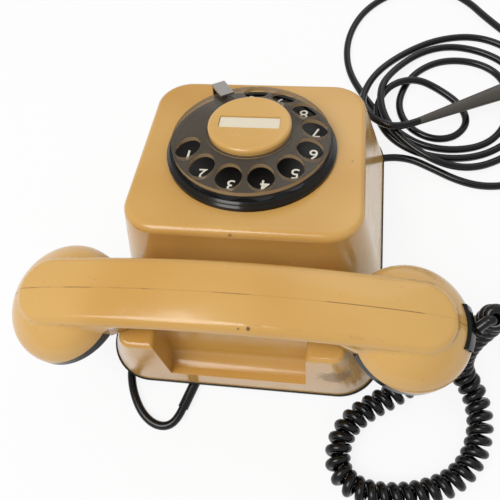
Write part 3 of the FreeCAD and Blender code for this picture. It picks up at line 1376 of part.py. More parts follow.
def handset_cord():
    inlet = sizes.inlet_radius
    wall_face = sizes.base_half_width + sizes.seat_gap
    outer = wall_face + sizes.grommet_reach
    place = Placement(vector(0, sizes.inlet_y, sizes.inlet_z), Rotation(UP, -ALONG_X))
    turned("cord_grommet", [(0, wall_face - sizes.wall * 2), (inlet, wall_face - sizes.wall * 2),
                            (inlet, wall_face),
                            (inlet * 1.4, wall_face), (inlet * 0.8, outer), (0, outer)], place)
    edges, radii = route_edges(HANDSET_ROUTE)
    print("handset cord route radii", [round(radius, 1) for radius in radii])
    wire_radius = sizes.curl_wire_radius.number
    helix, curls = helix_points(edges, sizes.curl_radius.number, sizes.curl_pitch.number, wire_radius * 2)
    half = POINTS_PER_CURL // 2
    knots = range(0, len(helix), half)
    headings = [(helix[min(knot + 1, len(helix) - 1)] - helix[max(knot - 1, 0)]).normalize()
                for knot in knots]
    curves = []
    for index in range(len(headings) - 1):
        curves += biarc(helix[index * half], headings[index], helix[(index + 1) * half], headings[index + 1])
    gaps = [(helix[index] - helix[other]).Length for index in range(0, len(helix), 3)
            for other in range(index + POINTS_PER_CURL * 3 // 4, min(index + POINTS_PER_CURL * 2, len(helix)),
                               3)]
    print("handset cord curls", curls, "least gap to itself", round(min(gaps) - wire_radius * 2, 2))
    tube("handset_cord", curves, wire_radius, 4)


housing()
base()
dial_face()
dial_movement()
handset()
cradle_switch()
ringer()
circuit()
line_cord()
handset_cord()

doc.recompute()
faults = [item.Label for item in doc.Objects if "Invalid" in item.State or "Error" in item.State]
faults += [label for label, item in nodes.items() if item.Shape.isNull() or not item.Shape.isValid()]
if faults:
    raise RuntimeError(f"failed pieces: {faults}")
os.makedirs("parts", exist_ok=True)
for label, item in nodes.items():
    item.Shape.exportStep(f"parts/{label}.step")
    print(label, len(item.Shape.Solids), "solid(s),", round(item.Shape.Volume / 1000, 2), "cm3")
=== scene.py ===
# %% [markdown]
# # A rotary telephone
# A desk telephone from the days of the rotary dial: a mustard plastic housing, a smoky finger wheel, a
# handset across the back, a curly cord and a long line cord in loose loops. The solids come from the
# frame, so every piece is already in place and in scale. The lesson is about finishes, cords and light.

# %% Load the frame
import json
import math

import bmesh
import bpy
from mathutils import Matrix, Vector


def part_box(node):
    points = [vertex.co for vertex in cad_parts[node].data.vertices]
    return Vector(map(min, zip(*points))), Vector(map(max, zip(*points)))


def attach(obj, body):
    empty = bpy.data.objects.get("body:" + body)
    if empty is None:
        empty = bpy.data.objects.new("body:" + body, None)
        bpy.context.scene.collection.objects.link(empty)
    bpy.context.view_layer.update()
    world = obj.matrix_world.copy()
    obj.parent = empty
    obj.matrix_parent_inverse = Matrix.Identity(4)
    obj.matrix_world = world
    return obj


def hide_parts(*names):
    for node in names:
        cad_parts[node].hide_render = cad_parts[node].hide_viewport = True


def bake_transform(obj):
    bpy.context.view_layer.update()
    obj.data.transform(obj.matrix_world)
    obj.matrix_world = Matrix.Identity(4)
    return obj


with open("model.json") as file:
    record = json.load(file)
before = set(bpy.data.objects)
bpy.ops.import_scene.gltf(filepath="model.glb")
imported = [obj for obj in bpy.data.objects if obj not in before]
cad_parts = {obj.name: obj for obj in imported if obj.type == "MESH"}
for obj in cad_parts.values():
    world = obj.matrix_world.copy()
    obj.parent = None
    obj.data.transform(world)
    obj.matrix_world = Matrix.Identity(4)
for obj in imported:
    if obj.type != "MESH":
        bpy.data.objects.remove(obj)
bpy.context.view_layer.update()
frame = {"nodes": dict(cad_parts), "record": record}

nodes = frame["nodes"]
record = frame["record"]
joints = {joint["name"]: joint for joint in record["behaviour"]["joints"]}
print("pieces in the frame:", len(nodes))

# %% [markdown]
# ## Camera and light
# The picture is taken from behind the telephone and high above it, close up, so lines run together
# strongly. The camera's three directions are written as vectors; together they make a rotation matrix,
# which is easier to check than three angles.

# %% Camera
EYE = Vector((-0.04379, 0.15068, 0.35208))
EYE_RIGHT = Vector((-0.99044, -0.10345, -0.09128))
EYE_UP = Vector((0.05775, -0.91173, 0.40672))
EYE_AHEAD = Vector((0.1253, -0.39756, -0.90898))
LENS = 42.556

camera_data = bpy.data.cameras.new("photo_camera")
camera_data.lens = LENS
camera_data.sensor_width = 36.0
camera_data.clip_start = 0.01
camera = bpy.data.objects.new("photo_camera", camera_data)
turn = Matrix((EYE_RIGHT, EYE_UP, -EYE_AHEAD)).transposed().to_4x4()
camera.matrix_world = Matrix.Translation(EYE) @ turn
bpy.context.collection.objects.link(camera)
scene = bpy.context.scene
scene.camera = camera
scene.view_settings.view_transform = "Standard"
print("camera at", tuple(EYE))

# %% [markdown]
# Shader maths reads best as plain expressions. The small class below wraps a node's output; adding or
# multiplying two of them adds the Math node that does it. One method makes any other node.


# %% Shader expressions
class Wire:
    """An output socket that can be used in arithmetic."""

    def __init__(self, tree, socket):
        self.tree = tree
        self.socket = socket

    def math(self, operation, other, swap=False):
        first, second = (other, self) if swap else (self, other)
        return self.tree.node("ShaderNodeMath", {"operation": operation}, {0: first, 1: second}).out()

    def __add__(self, other):
        return self.math("ADD", other)

    def __radd__(self, other):
        return self.math("ADD", other, True)

    def __sub__(self, other):
        return self.math("SUBTRACT", other)

    def __rsub__(self, other):
        return self.math("SUBTRACT", other, True)

    def __mul__(self, other):
        return self.math("MULTIPLY", other)

    def __rmul__(self, other):
        return self.math("MULTIPLY", other, True)

    def __abs__(self):
        return self.math("ABSOLUTE", 0.0)

    def peak(self, other):
        return self.math("MAXIMUM", other)


class Node:
    """One shader node, with its outputs by name or number."""

    def __init__(self, tree, node):
        self.tree = tree
        self.item = node

    def out(self, name=0):
        return Wire(self.tree, self.item.outputs[name])


class Finish:
    """A material and the nodes in it."""

    def __init__(self, name):
        self.material = bpy.data.materials.new(name)
        self.material.use_nodes = True
        self.nodes = self.material.node_tree.nodes
        self.links = self.material.node_tree.links
        self.shader = Node(self, self.nodes["Principled BSDF"])
        self.place = self.node("ShaderNodeTexCoord").out("Object")

    def node(self, kind, settings=None, inputs=None):
        item = self.nodes.new(kind)
        for name, value in (settings or {}).items():
            setattr(item, name, value)
        for name, value in (inputs or {}).items():
            self.feed(item.inputs[name], value)
        return Node(self, item)

    def feed(self, socket, value):
        if isinstance(value, Wire):
            self.links.new(value.socket, socket)
        else:
            socket.default_value = value

    def set(self, **values):
        for name, value in values.items():
            self.feed(self.shader.item.inputs[name.replace("_", " ")], value)

    def noise(self, scale, detail=3.0, roughness=0.55, place=None):
        return self.node("ShaderNodeTexNoise", None, {
            "Vector": place or self.place, "Scale": scale, "Detail": detail,
            "Roughness": roughness}).out("Fac")

    def ramp(self, value, low, high):
        return self.node("ShaderNodeMapRange", {"interpolation_type": "SMOOTHSTEP"}, {
            "Value": value, "From Min": low, "From Max": high}).out()

    def mix(self, factor, first, second):
        return self.node("ShaderNodeMix", {"data_type": "RGBA"}, {
            "Factor": factor, 6: first, 7: second}).out(2)

    def bump(self, height, strength, distance):
        return self.node("ShaderNodeBump", None, {
            "Height": height, "Strength": strength, "Distance": distance}).out()


def colour(red, green, blue):
    """A colour as seen on screen, 0 to 255, as the linear values a shader takes."""
    return tuple(((part / 255 + 0.055) / 1.055) ** 2.4 if part > 10 else part / 255 / 12.92
                 for part in (red, green, blue)) + (1.0,)


finishes = {}


def dress(finish, *names):
    """Give pieces of the frame a finish."""
    for name in names:
        piece = nodes[name]
        piece.data.materials.clear()
        piece.data.materials.append(finish.material)


# %% [markdown]
# ## Plastic
# The mustard plastic is glossy and old: its colour drifts a little from place to place, dirt sits in
# specks and faint smears dull the shine. Three noises at different scales do that. The grip has a
# parting line along its ridge where dirt has collected; a narrow band about the ridge, broken by a
# noise, gives it. A few single marks are spots about a point with a ragged edge.

# %% Mustard plastic
MUSTARD = colour(204, 161, 92)
MUSTARD_DEEP = colour(190, 142, 68)
DIRT = colour(92, 62, 30)
# a place on the surface, a radius and a strength for each mark
SHELL_MARKS = [((-0.0533, 0.0852, 0.0445), 0.012, 0.6), ((0.0036, 0.0274, 0.0875), 0.0014, 0.5)]
GRIP_MARKS = [((-0.0122, 0.0787, 0.1005), 0.0014, 0.95), ((-0.0077, 0.0789, 0.1004), 0.0008, 0.7)]


def mustard(name, marks, ridge=None):
    """Old glossy plastic with dirt, single marks and, given a ridge, a parting line along it."""
    finish = Finish(name)
    drift = finish.noise(9.0, 2.0)
    tint = finish.mix(finish.ramp(drift, 0.35, 0.7), MUSTARD, MUSTARD_DEEP)
    speck = finish.ramp(finish.noise(900.0, 1.0), 0.73, 0.79)
    patch = finish.ramp(finish.noise(35.0, 3.0), 0.5, 0.7)
    dirt = speck * (0.15 + 0.85 * patch)
    if ridge is not None:
        across = finish.node("ShaderNodeSeparateXYZ", None, {"Vector": finish.place}).out("Y") - ridge
        line = 1.0 - finish.ramp(abs(across), 0.00005, 0.0004)
        broken = finish.ramp(finish.noise(60.0, 4.0), 0.44, 0.6)
        dirt = dirt.peak(line * (0.15 + 0.55 * broken))
    ragged = finish.noise(400.0, 3.0) - 0.5
    for place, radius, strength in marks:
        away = finish.node("ShaderNodeVectorMath", {"operation": "DISTANCE"}, {
            0: finish.place, 1: place}).out("Value") + ragged * radius
        dirt = dirt.peak((1.0 - finish.ramp(away, radius * 0.5, radius)) * strength)
    smear = finish.ramp(finish.noise(70.0, 4.0, 0.7), 0.45, 0.75)
    finish.set(Base_Color=finish.mix(dirt, tint, DIRT),
               Roughness=0.14 + 0.08 * drift + 0.12 * smear + 0.3 * dirt,
               Normal=finish.bump(finish.noise(160.0, 2.0) * 0.5 + dirt * 0.2, 0.06, 0.0005))
    finishes[name] = finish
    return finish


dress(mustard("mustard_shell", SHELL_MARKS), "housing", "hub_cap")
grip_low, grip_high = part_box("handset_body")
ridge_y = (grip_low[1] + grip_high[1]) / 2
grip_finish = mustard("mustard_grip", GRIP_MARKS, ridge_y)
print("ridge of the grip at", round(ridge_y, 4))

# %% [markdown]
# The grip narrows towards its underside, so that fingers close round it. The frame's own mesh stays as it
# is: a copy of it is merged, its side walls are drawn in below the shoulder, and the copy takes the
# place of the plain piece. The pull fades out before the cups.

# %% Tapered grip
GRIP_CROWN = grip_high[2]
GRIP_BEND = 0.4326       # radius of the long bend of the crown
SHOULDER_DEPTH = 0.007   # from the crown to where the side walls start
WALL_DEPTH = 0.019
DRAW_IN = 0.36           # share of the half width lost at the underside
FULL_REACH, NO_REACH = 0.046, 0.066
MERGE_DISTANCE = 0.000005
SHARP_DEGREES = 28


def smooth_share(value):
    """A share from 0 to 1 with soft ends."""
    value = min(max(value, 0.0), 1.0)
    return value * value * (3 - 2 * value)


form = bmesh.new()
form.from_mesh(nodes["handset_body"].data)
bmesh.ops.remove_doubles(form, verts=form.verts, dist=MERGE_DISTANCE)
moved = 0
for vertex in form.verts:
    reach = abs(vertex.co.x)
    crown = GRIP_CROWN - GRIP_BEND + math.sqrt(GRIP_BEND ** 2 - reach ** 2)
    pull = smooth_share((NO_REACH - reach) / (NO_REACH - FULL_REACH))
    pull *= min(max((crown - vertex.co.z - SHOULDER_DEPTH) / WALL_DEPTH, 0.0), 1.0)
    vertex.co.y = ridge_y + (vertex.co.y - ridge_y) * (1 - DRAW_IN * pull)
    moved += pull > 0
grip_mesh = bpy.data.meshes.new("tapered_grip")
form.to_mesh(grip_mesh)
form.free()
grip_mesh.shade_smooth()
grip_mesh.set_sharp_from_angle(angle=math.radians(SHARP_DEGREES))
grip_mesh.materials.append(grip_finish.material)
grip = bpy.data.objects.new("tapered_grip", grip_mesh)
bpy.context.collection.objects.link(grip)
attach(grip, "handset")
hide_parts("handset_body")
print("grip points drawn in:", moved)

# %% [markdown]
# Black plastic, rubber, metal and paper follow the same pattern: a base, a slow drift and a fine grain.


# %% Other finishes
def plain(name, base, other, roughness, grain=220.0, metal=0.0, bump=0.04, shine=0.5):
    """A worn one-colour finish with a fine grain."""
    finish = Finish(name)
    drift = finish.noise(14.0, 3.0)
    fine = finish.noise(grain, 2.0)
    dust = finish.ramp(finish.noise(420.0, 2.0), 0.62, 0.76)
    finish.set(Base_Color=finish.mix(finish.ramp(drift, 0.3, 0.75) * 0.7 + dust * 0.3, base, other),
               Roughness=roughness + 0.12 * (drift - 0.5) + 0.15 * dust,
               Metallic=metal, Specular_IOR_Level=shine,
               Normal=finish.bump(fine, bump, 0.0004))
    finishes[name] = finish
    return finish


def turned_metal(name, base, other, roughness):
    """Metal with fine brushed lines."""
    finish = Finish(name)
    stretched = finish.node("ShaderNodeMapping", None,
                            {"Vector": finish.place, "Scale": (60.0, 1500.0, 60.0)}).out()
    lines = finish.noise(1.0, 3.0, 0.6, stretched)
    drift = finish.noise(30.0, 2.0)
    finish.set(Base_Color=finish.mix(drift, base, other), Metallic=1.0,
               Roughness=roughness + 0.2 * (lines - 0.5), Normal=finish.bump(lines, 0.05, 0.0003))
    finishes[name] = finish
    return finish


dress(plain("black_gloss", colour(8, 8, 8), colour(18, 17, 16), 0.14, shine=0.35), "dial_bezel",
      "ear_cap", "mouth_cap", "cord_clip", "plunger_left", "plunger_right", "line_cord_gland", "cord_grommet")
dress(plain("number_black", colour(20, 19, 18), colour(34, 32, 29), 0.4, shine=0.3), "number_plate")
dress(plain("base_black", colour(12, 12, 12), colour(26, 25, 24), 0.5, shine=0.3), "base_plate")
dress(plain("foot_rubber", colour(22, 22, 22), colour(40, 39, 37), 0.8, bump=0.2), "rubber_feet")
dress(plain("plug_grey", colour(66, 62, 57), colour(86, 81, 74), 0.45), "plug_boot", "plug_body")
dress(plain("card_paper", colour(216, 206, 184), colour(200, 188, 162), 0.8, grain=900.0), "number_card")
dress(turned_metal("stop_steel", colour(206, 202, 196), colour(178, 172, 164), 0.3), "finger_stop")
dress(turned_metal("bright_steel", colour(200, 198, 194), colour(170, 168, 164), 0.3), "base_screws",
      "movement_plate", "movement_bridge", "dial_screws", "dial_shaft", "pulse_spindle", "governor_spindle",
      "governor_rotor", "receiver_capsule", "microphone_capsule", "hook_lever", "lever_pin", "lever_bracket",
      "gong_posts", "gong_nuts", "ringer_frame", "clapper")
dress(turned_metal("turned_brass", colour(205, 170, 98), colour(176, 140, 74), 0.3), "movement_pillars",
      "dial_bush", "drive_gear", "spring_case", "pulse_pinion", "governor_gear", "governor_pinion",
      "governor_drum", "plug_pins")
dress(turned_metal("gong_nickel", colour(196, 190, 178), colour(168, 160, 146), 0.25), "gong_left",
      "gong_right")
dress(plain("board_brown", colour(122, 84, 44), colour(98, 64, 32), 0.6), "circuit_board")
dress(plain("pale_insulator", colour(206, 194, 168), colour(180, 168, 142), 0.5), "pulse_cam",
      "pulse_contacts",
      "hook_switch", "capacitor", "terminal_block")
dress(plain("copper_winding", colour(142, 74, 40), colour(112, 54, 28), 0.4, metal=0.6), "ringer_coil",
      "transformer")
print("finishes so far:", len(finishes))

# %% [markdown]
# ## Smoky finger wheel
# The finger wheel is clear acrylic with a brown smoke tint. Real refraction would need many light bounces,
# and a library part has to look right in any viewer, so the wheel is a glossy surface with part of its
# alpha taken away: the numerals and the black plate show through it. Clear plastic gathers light at its cut
# edges, so that glow is painted in: faces that stand on edge, at the rim and in the finger holes, are paler
# and less clear.

# %% Finger wheel
smoke = Finish("smoky_wheel")
smoke_drift = smoke.noise(24.0, 3.0)
DIAL_UP = Vector(joints["dial_turn"]["axis"])
facing = smoke.node("ShaderNodeVectorMath", {"operation": "DOT_PRODUCT"}, {
    0: smoke.node("ShaderNodeNewGeometry").out("Normal"), 1: DIAL_UP}).out("Value")
# painted edge glow: the more a face stands on edge, the paler and less clear it is painted
edge_glow = 1.0 - smoke.ramp(abs(facing), 0.2, 0.7)
face = smoke.mix(smoke_drift, colour(104, 94, 80), colour(82, 72, 60))
# the pale colour on edge faces is painted edge glow, not the plastic's own tint
smoke.set(Base_Color=smoke.mix(edge_glow, face, colour(176, 148, 108)),
          Roughness=0.1 + 0.1 * smoke_drift, Alpha=0.4 + 0.25 * edge_glow)
smoke.material.surface_render_method = "BLENDED"
dress(smoke, "finger_wheel")

# %% [markdown]
# ## Numerals
# Pale numerals are printed on the black plate under the finger holes, upright for the person who dials.
# Text objects become meshes before they are placed, so that each one sits at the origin with its place
# in its points, as the frame's own pieces do.

# %% Numerals
DIAL = Vector(joints["dial_turn"]["pos_m"])
DIAL_RIGHT = Vector((1, 0, 0))
DIAL_REAR = DIAL_UP.cross(DIAL_RIGHT)
PLATE_FACE = 0.0042
NUMERAL_RADIUS = 0.0362
NUMERAL_SHIFT = -0.0032
NUMERAL_SIZE = 0.0105
NUMERAL_DEPTH = 0.00005
NUMERAL_WEIGHT = 0.00006
NUMERAL_LIFT = 0.00006
FIRST_NUMERAL = 22.3
NUMERAL_STEP = 28.4

ink = plain("numeral_cream", colour(238, 232, 216), colour(222, 214, 194), 0.6, grain=600.0)
dial_turn_matrix = Matrix((DIAL_RIGHT, DIAL_REAR, DIAL_UP)).transposed().to_4x4()
numeral_parts = []
for count in range(10):
    text = bpy.data.curves.new(f"numeral_text_{count}", "FONT")
    text.body = str((count + 1) % 10)
    text.size = NUMERAL_SIZE
    text.align_x = "CENTER"
    text.align_y = "CENTER"
    text.extrude = NUMERAL_DEPTH
    text.offset = NUMERAL_WEIGHT
    holder = bpy.data.objects.new(f"numeral_holder_{count}", text)
    bpy.context.collection.objects.link(holder)
    bpy.context.view_layer.update()
    shape = bpy.data.meshes.new_from_object(holder.evaluated_get(bpy.context.evaluated_depsgraph_get()))
    bpy.data.objects.remove(holder)
    angle = math.radians(FIRST_NUMERAL + NUMERAL_STEP * count)
    across, along = math.cos(angle) * NUMERAL_RADIUS, math.sin(angle) * NUMERAL_RADIUS + NUMERAL_SHIFT
    spot = Vector((across, along, PLATE_FACE + NUMERAL_LIFT))
    shape.transform(Matrix.Translation(DIAL) @ dial_turn_matrix @ Matrix.Translation(spot))
    numeral_parts.append(shape)

form = bmesh.new()
for shape in numeral_parts:
    form.from_mesh(shape)
numeral_mesh = bpy.data.meshes.new("numerals")
form.to_mesh(numeral_mesh)
form.free()
numeral_mesh.materials.append(ink.material)
numerals = bpy.data.objects.new("numerals", numeral_mesh)
bpy.context.collection.objects.link(numerals)
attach(numerals, "telephone")
print("numeral faces:", len(numeral_mesh.polygons))

# %% [markdown]
# ## Cords
# A cord is a fixed length of something flexible. Each route is a list of given points; a smooth
# curve through them gives the line that the cord lies along. The line cord is a plain round sheath. It
# comes out of a sleeve at the back, runs under the base and lies in loose loops beside the telephone.

# %% Line cord
LINE_RADIUS = 0.0025
LINE_ROUTE = [
    # out of the sleeve, round the corner and under the base
    (33.2, 101.5, 3.2), (35.4, 108.1, 3.2), (41, 112.8, 2.9), (49, 112.2, 2.6), (56.5, 107, 2.6),
    (62, 99.5, 2.6), (66, 91, 2.6), (68.5, 81, 2.6), (66.5, 69, 2.6), (59, 57, 2.6), (46.8, 41.1, 2.6),
    (28.8, 19.7, 2.6), (8.1, -3.4, 2.6), (-13.4, -25.7, 2.6), (-35, -46.5, 2.6), (-56.4, -64.5, 2.6),
    (-76, -76.5, 2.6), (-96, -77.5, 2.6),
    # widest loop
    (-113, -69, 2.6), (-128, -61, 2.6), (-144, -57, 2.6), (-161, -59, 2.6), (-178, -67, 2.6),
    (-193, -81, 2.6), (-202, -102, 2.6), (-205, -126, 2.6), (-199, -149, 2.6), (-187, -169, 2.6),
    (-169, -187, 2.6), (-153, -205, 2.6), (-141, -221, 2.6), (-122, -234, 2.6), (-98, -234, 2.6),
    (-78, -224, 2.6), (-63, -209, 2.6), (-54, -190, 2.6), (-51, -170, 2.6), (-54, -149, 2.6),
    (-65, -128, 2.6), (-79, -108, 2.6), (-95, -93, 2.6),
    # second loop
    (-110, -86, 2.6), (-128, -84.5, 2.6), (-146, -89, 2.6), (-158, -100, 2.6), (-165, -117, 2.6),
    (-166, -136, 2.6), (-158, -153, 2.6), (-141, -162, 2.6), (-120, -162, 2.6), (-103, -152, 2.6),
    (-93, -137, 2.6), (-89, -119, 2.6), (-96, -102, 2.6),
    # small loop over it
    (-112, -92.5, 2.6), (-128, -95, 2.6), (-137, -108, 2.6), (-132, -123, 2.6), (-118, -134, 4.5),
    (-102, -140, 8.4), (-86, -136, 8.6), (-76, -123.5, 8.6), (-73.5, -107, 8.6), (-83, -90.5, 6.4),
    # third loop
    (-101, -80.5, 4.0), (-121, -77, 3.2), (-142, -79.5, 3.0), (-160, -90, 2.6), (-172, -105, 2.6),
    (-177, -124, 2.6), (-175, -144, 2.6), (-165, -161, 2.6), (-147, -172, 2.6), (-125, -176, 2.6),
    (-104, -168, 3.6), (-85, -147, 8.6), (-75, -126, 14.6), (-77.5, -103, 14.4), (-91, -84.5, 11.8),
    # fourth loop, up to the plug's boot on top
    (-115, -69.5, 9.2), (-137, -68.5, 5.5), (-158, -79, 2.6), (-175, -94, 2.6), (-186, -113, 2.6),
    (-189, -135, 2.6), (-184, -156, 2.6), (-169, -175, 2.6), (-145, -186, 2.6), (-117, -182, 2.6),
    (-92, -167, 3.2), (-72, -144, 8.4), (-63, -121, 10), (-66, -105, 15), (-75, -94, 18.9),
    (-88, -90, 18.4), (-101.5, -96.8, 17.8),
]
MILLIMETRE = 0.001


def route_curve(name, route):
    """A smooth open curve with the route's points as its control points."""
    data = bpy.data.curves.new(name, "CURVE")
    data.dimensions = "3D"
    spline = data.splines.new("NURBS")
    spline.points.add(len(route) - 1)
    for point, place in zip(spline.points, route):
        point.co = (*(Vector(place) * MILLIMETRE), 1.0)
    spline.order_u = 3
    spline.use_endpoint_u = True
    data.resolution_u = 8
    piece = bpy.data.objects.new(name, data)
    bpy.context.collection.objects.link(piece)
    return piece


def curve_points(piece):
    """Points along a curve that has no bevel."""
    bpy.context.view_layer.update()
    line = bpy.data.meshes.new_from_object(piece.evaluated_get(bpy.context.evaluated_depsgraph_get()))
    points = [vertex.co.copy() for vertex in line.vertices]
    bpy.data.meshes.remove(line)
    return points


def length_of(points):
    """Length of a line of points."""
    return sum((after - before).length for before, after in zip(points, points[1:]))


def sheath_group():
    """Geometry Nodes that wrap a round sheath about a line of points."""
    group = bpy.data.node_groups.new("sheath_along_line", "GeometryNodeTree")
    face = group.interface
    sockets = {"line": face.new_socket("Line", in_out="INPUT", socket_type="NodeSocketGeometry")}
    for key, kind in (("radius", "NodeSocketFloat"), ("sides", "NodeSocketInt"),
                      ("finish", "NodeSocketMaterial")):
        sockets[key] = face.new_socket(key.title(), in_out="INPUT", socket_type=kind)
    face.new_socket("Sheath", in_out="OUTPUT", socket_type="NodeSocketGeometry")
    source = group.nodes.new("NodeGroupInput")
    curve = group.nodes.new("GeometryNodeMeshToCurve")
    ring = group.nodes.new("GeometryNodeCurvePrimitiveCircle")
    wrap = group.nodes.new("GeometryNodeCurveToMesh")
    smooth = group.nodes.new("GeometryNodeSetShadeSmooth")
    real = group.nodes.new("GeometryNodeRealizeInstances")
    paint = group.nodes.new("GeometryNodeSetMaterial")
    result = group.nodes.new("NodeGroupOutput")
    wrap.inputs["Fill Caps"].default_value = True
    group.links.new(source.outputs["Line"], curve.inputs["Mesh"])
    group.links.new(source.outputs["Radius"], ring.inputs["Radius"])
    group.links.new(source.outputs["Sides"], ring.inputs["Resolution"])
    group.links.new(curve.outputs["Curve"], wrap.inputs["Curve"])
    group.links.new(ring.outputs["Curve"], wrap.inputs["Profile Curve"])
    group.links.new(wrap.outputs["Mesh"], smooth.inputs["Geometry"])
    group.links.new(smooth.outputs["Geometry"], real.inputs["Geometry"])
    group.links.new(real.outputs["Geometry"], paint.inputs["Geometry"])
    group.links.new(source.outputs["Finish"], paint.inputs["Material"])
    group.links.new(paint.outputs["Geometry"], result.inputs["Sheath"])
    return group, {key: socket.identifier for key, socket in sockets.items()}


def sheath_piece(name, points, radius, sides, finish):
    """A plain mesh of a sheath about points, made by the node group."""
    line = bpy.data.meshes.new(f"{name}_line")
    line.from_pydata(points, [(index, index + 1) for index in range(len(points) - 1)], [])
    piece = bpy.data.objects.new(name, line)
    bpy.context.collection.objects.link(piece)
    modifier = piece.modifiers.new("sheath", "NODES")
    modifier.node_group = SHEATH_GROUP
    modifier[SHEATH_SOCKETS["radius"]] = radius
    modifier[SHEATH_SOCKETS["sides"]] = sides
    modifier[SHEATH_SOCKETS["finish"]] = finish.material
    bpy.context.view_layer.update()
    mesh = bpy.data.meshes.new_from_object(piece.evaluated_get(bpy.context.evaluated_depsgraph_get()))
    piece.modifiers.remove(modifier)
    piece.data = mesh
    return piece


SHEATH_GROUP, SHEATH_SOCKETS = sheath_group()
SHEATH_SIDES = 12
sheath = plain("cord_sheath", colour(6, 6, 7), colour(14, 13, 13), 0.22, grain=500.0, shine=0.4)
line_guide = route_curve("line_route", LINE_ROUTE)
line_points = curve_points(line_guide)
bpy.data.objects.remove(line_guide)
line_length = length_of(line_points)
line_cord = sheath_piece("line_cord_sheath", line_points, LINE_RADIUS, SHEATH_SIDES, sheath)
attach(line_cord, "telephone")
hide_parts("line_cord")
dress(sheath, "line_cord_sleeve")
print("line cord length", round(line_length, 3))

# %% [markdown]
# The handset cord is wound: one sheath that curls about the route. The route's smooth line is walked in
# equal steps, carrying a side direction along without twist, and the sheath goes round it. At both ends
# the curls close up into a straight lead. When the handset is lifted the cord has to stretch; here its
# points are baked in place and not shared between the two bodies.

# %% Handset cord
CURL_RADIUS = 0.0047
CURL_SHEATH = 0.0025
CURL_PITCH = 0.0062
CURL_STEPS = 24
CLOSING_CURLS = 1.5      # curls over which each end closes up
HANDSET_ROUTE = [
    # out of the grommet and down to the table
    (-84.5, 45, 15), (-92, 45, 14.6), (-99.5, 47, 12), (-105, 52.5, 9), (-106.5, 60.5, 7.3),
    (-103.5, 68.5, 7.3),
    (-98, 75.3, 7.3), (-91, 81, 7.3), (-83.2, 86.5, 7.3), (-75.4, 91.4, 7.3), (-68, 97, 7.3),
    (-61.5, 104, 7.3),
    (-57.7, 113, 7.3), (-57, 124, 7.3),
    # round behind the telephone
    (-62, 132.5, 7.3), (-72, 137.2, 7.3), (-84, 137.7, 7.3), (-97, 136, 7.3), (-109, 132, 7.3),
    (-119, 126.5, 7.3),
    (-127, 118, 7.3), (-132, 107, 7.3), (-134, 95, 7.3), (-132.5, 84, 7.5), (-128.5, 75, 9.5),
    # up to the handset's end
    (-122.5, 69, 15), (-120.5, 64.5, 24), (-120.5, 61, 35), (-122, 58.5, 46), (-124.6, 56.5, 57),
    (-126, 55.5, 67), (-125.5, 56, 76), (-121.5, 59.5, 79.5), (-117, 63, 76),
]


def even_points(points, count):
    """The same line in equal steps."""
    marks = [0.0]
    for before, after in zip(points, points[1:]):
        marks.append(marks[-1] + (after - before).length)
    even = []
    place = 0
    for step in range(count + 1):
        target = marks[-1] * step / count
        while place < len(marks) - 2 and marks[place + 1] < target:
            place += 1
        share = (target - marks[place]) / (marks[place + 1] - marks[place])
        even.append(points[place].lerp(points[place + 1], min(max(share, 0.0), 1.0)))
    return even, marks[-1]


def carried_sides(points):
    """A heading and a side at each point, carried along without twist."""
    side = (points[1] - points[0]).cross(Vector((0, 0, 1))).normalized()
    frames = []
    for index in range(len(points)):
        ahead = (points[min(index + 1, len(points) - 1)] - points[max(index - 1, 0)]).normalized()
        side = (side - ahead * side.dot(ahead)).normalized()
        frames.append((side, ahead.cross(side)))
    return frames


def curl_round(points):
    """The sheath's own line: curls about the route with a straight lead at each end."""
    lead = CURL_SHEATH * 2
    curls = round((length_of(points) - lead * 2) / CURL_PITCH)
    line, total = even_points(points, curls * CURL_STEPS)
    wound = []
    for index, (point, (side, over)) in enumerate(zip(line, carried_sides(line))):
        along = total * index / (len(line) - 1)
        reach = CURL_RADIUS * smooth_share((min(along, total - along) - lead) / (CURL_PITCH * CLOSING_CURLS))
        spin = 2 * math.pi * index / CURL_STEPS
        wound.append(point + side * (reach * math.cos(spin)) + over * (reach * math.sin(spin)))
    return wound, curls


guide = route_curve("handset_route", HANDSET_ROUTE)
guide_points = curve_points(guide)
bpy.data.objects.remove(guide)
curl_points, curl_count = curl_round(guide_points)
handset_cord = sheath_piece("handset_cord_curls", curl_points, CURL_SHEATH, SHEATH_SIDES, sheath)
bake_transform(handset_cord)
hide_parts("handset_cord")
length_of(curl_points)
print("curls:", curl_count, "sheath length", round(length_of(curl_points), 3))

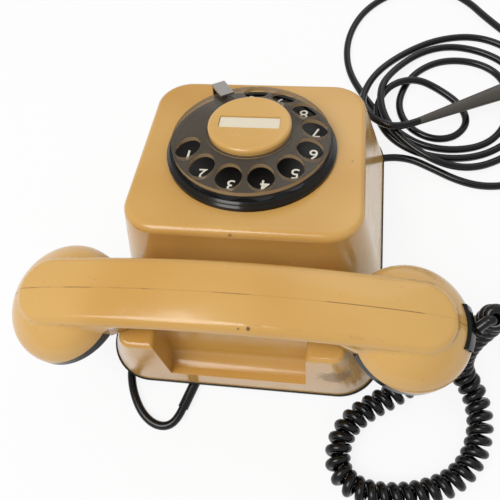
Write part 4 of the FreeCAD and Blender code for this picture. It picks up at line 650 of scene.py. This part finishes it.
# %% [markdown]
# ## Floor and light
# The floor is plain and pale. Seen by the camera, or in a reflection, most of its white is its own glow, so
# it stays bright while the telephone's soft shadow still shows. A large lamp high behind the telephone and a
# dim one in front give the plastic its broad highlights.

# %% Floor and lamps
FLOOR_SIZE = 6.0
FLOOR_DROP = 0.0002      # just below the feet
FLOOR_GLOW = 0.86
SKY_STRENGTH = 0.55

floor_form = bmesh.new()
bmesh.ops.create_grid(floor_form, x_segments=1, y_segments=1, size=FLOOR_SIZE)
floor_mesh = bpy.data.meshes.new("floor")
floor_form.to_mesh(floor_mesh)
floor_form.free()
floor = bpy.data.objects.new("floor", floor_mesh)
floor.location.z = -FLOOR_DROP
bpy.context.collection.objects.link(floor)
pale = Finish("pale_floor")
pale.set(Base_Color=(0.8, 0.8, 0.8, 1.0), Roughness=0.9)
path = pale.node("ShaderNodeLightPath")
seen = path.out("Is Camera Ray").peak(path.out("Is Glossy Ray")).peak(path.out("Is Transmission Ray"))
glow = pale.node("ShaderNodeEmission", None, {"Color": (1.0, 1.0, 1.0, 1.0), "Strength": 1.0}).out()
blend = pale.node("ShaderNodeMixShader", None, {0: seen * FLOOR_GLOW, 1: pale.shader.out(), 2: glow}).out()
pale.links.new(blend.socket, pale.nodes["Material Output"].inputs["Surface"])
floor_mesh.materials.append(pale.material)

world = bpy.data.worlds.new("studio")
world.use_nodes = True
world.node_tree.nodes["Background"].inputs["Color"].default_value = (1.0, 1.0, 1.0, 1.0)
world.node_tree.nodes["Background"].inputs["Strength"].default_value = SKY_STRENGTH
scene.world = world


def lamp(name, place, target, size, power):
    """A square soft lamp that faces a point."""
    data = bpy.data.lights.new(name, "AREA")
    data.size = size
    data.energy = power
    light = bpy.data.objects.new(name, data)
    light.location = place
    light.rotation_euler = (Vector(target) - Vector(place)).to_track_quat("-Z", "Y").to_euler()
    bpy.context.collection.objects.link(light)
    return light


lamp("key_lamp", (0.4, 0.38, 1.15), (0, 0, 0.05), 0.7, 10.0)
lamp("fill_lamp", (-0.3, -0.9, 0.8), (0, 0, 0.05), 0.9, 2.0)
print("floor and lamps ready")
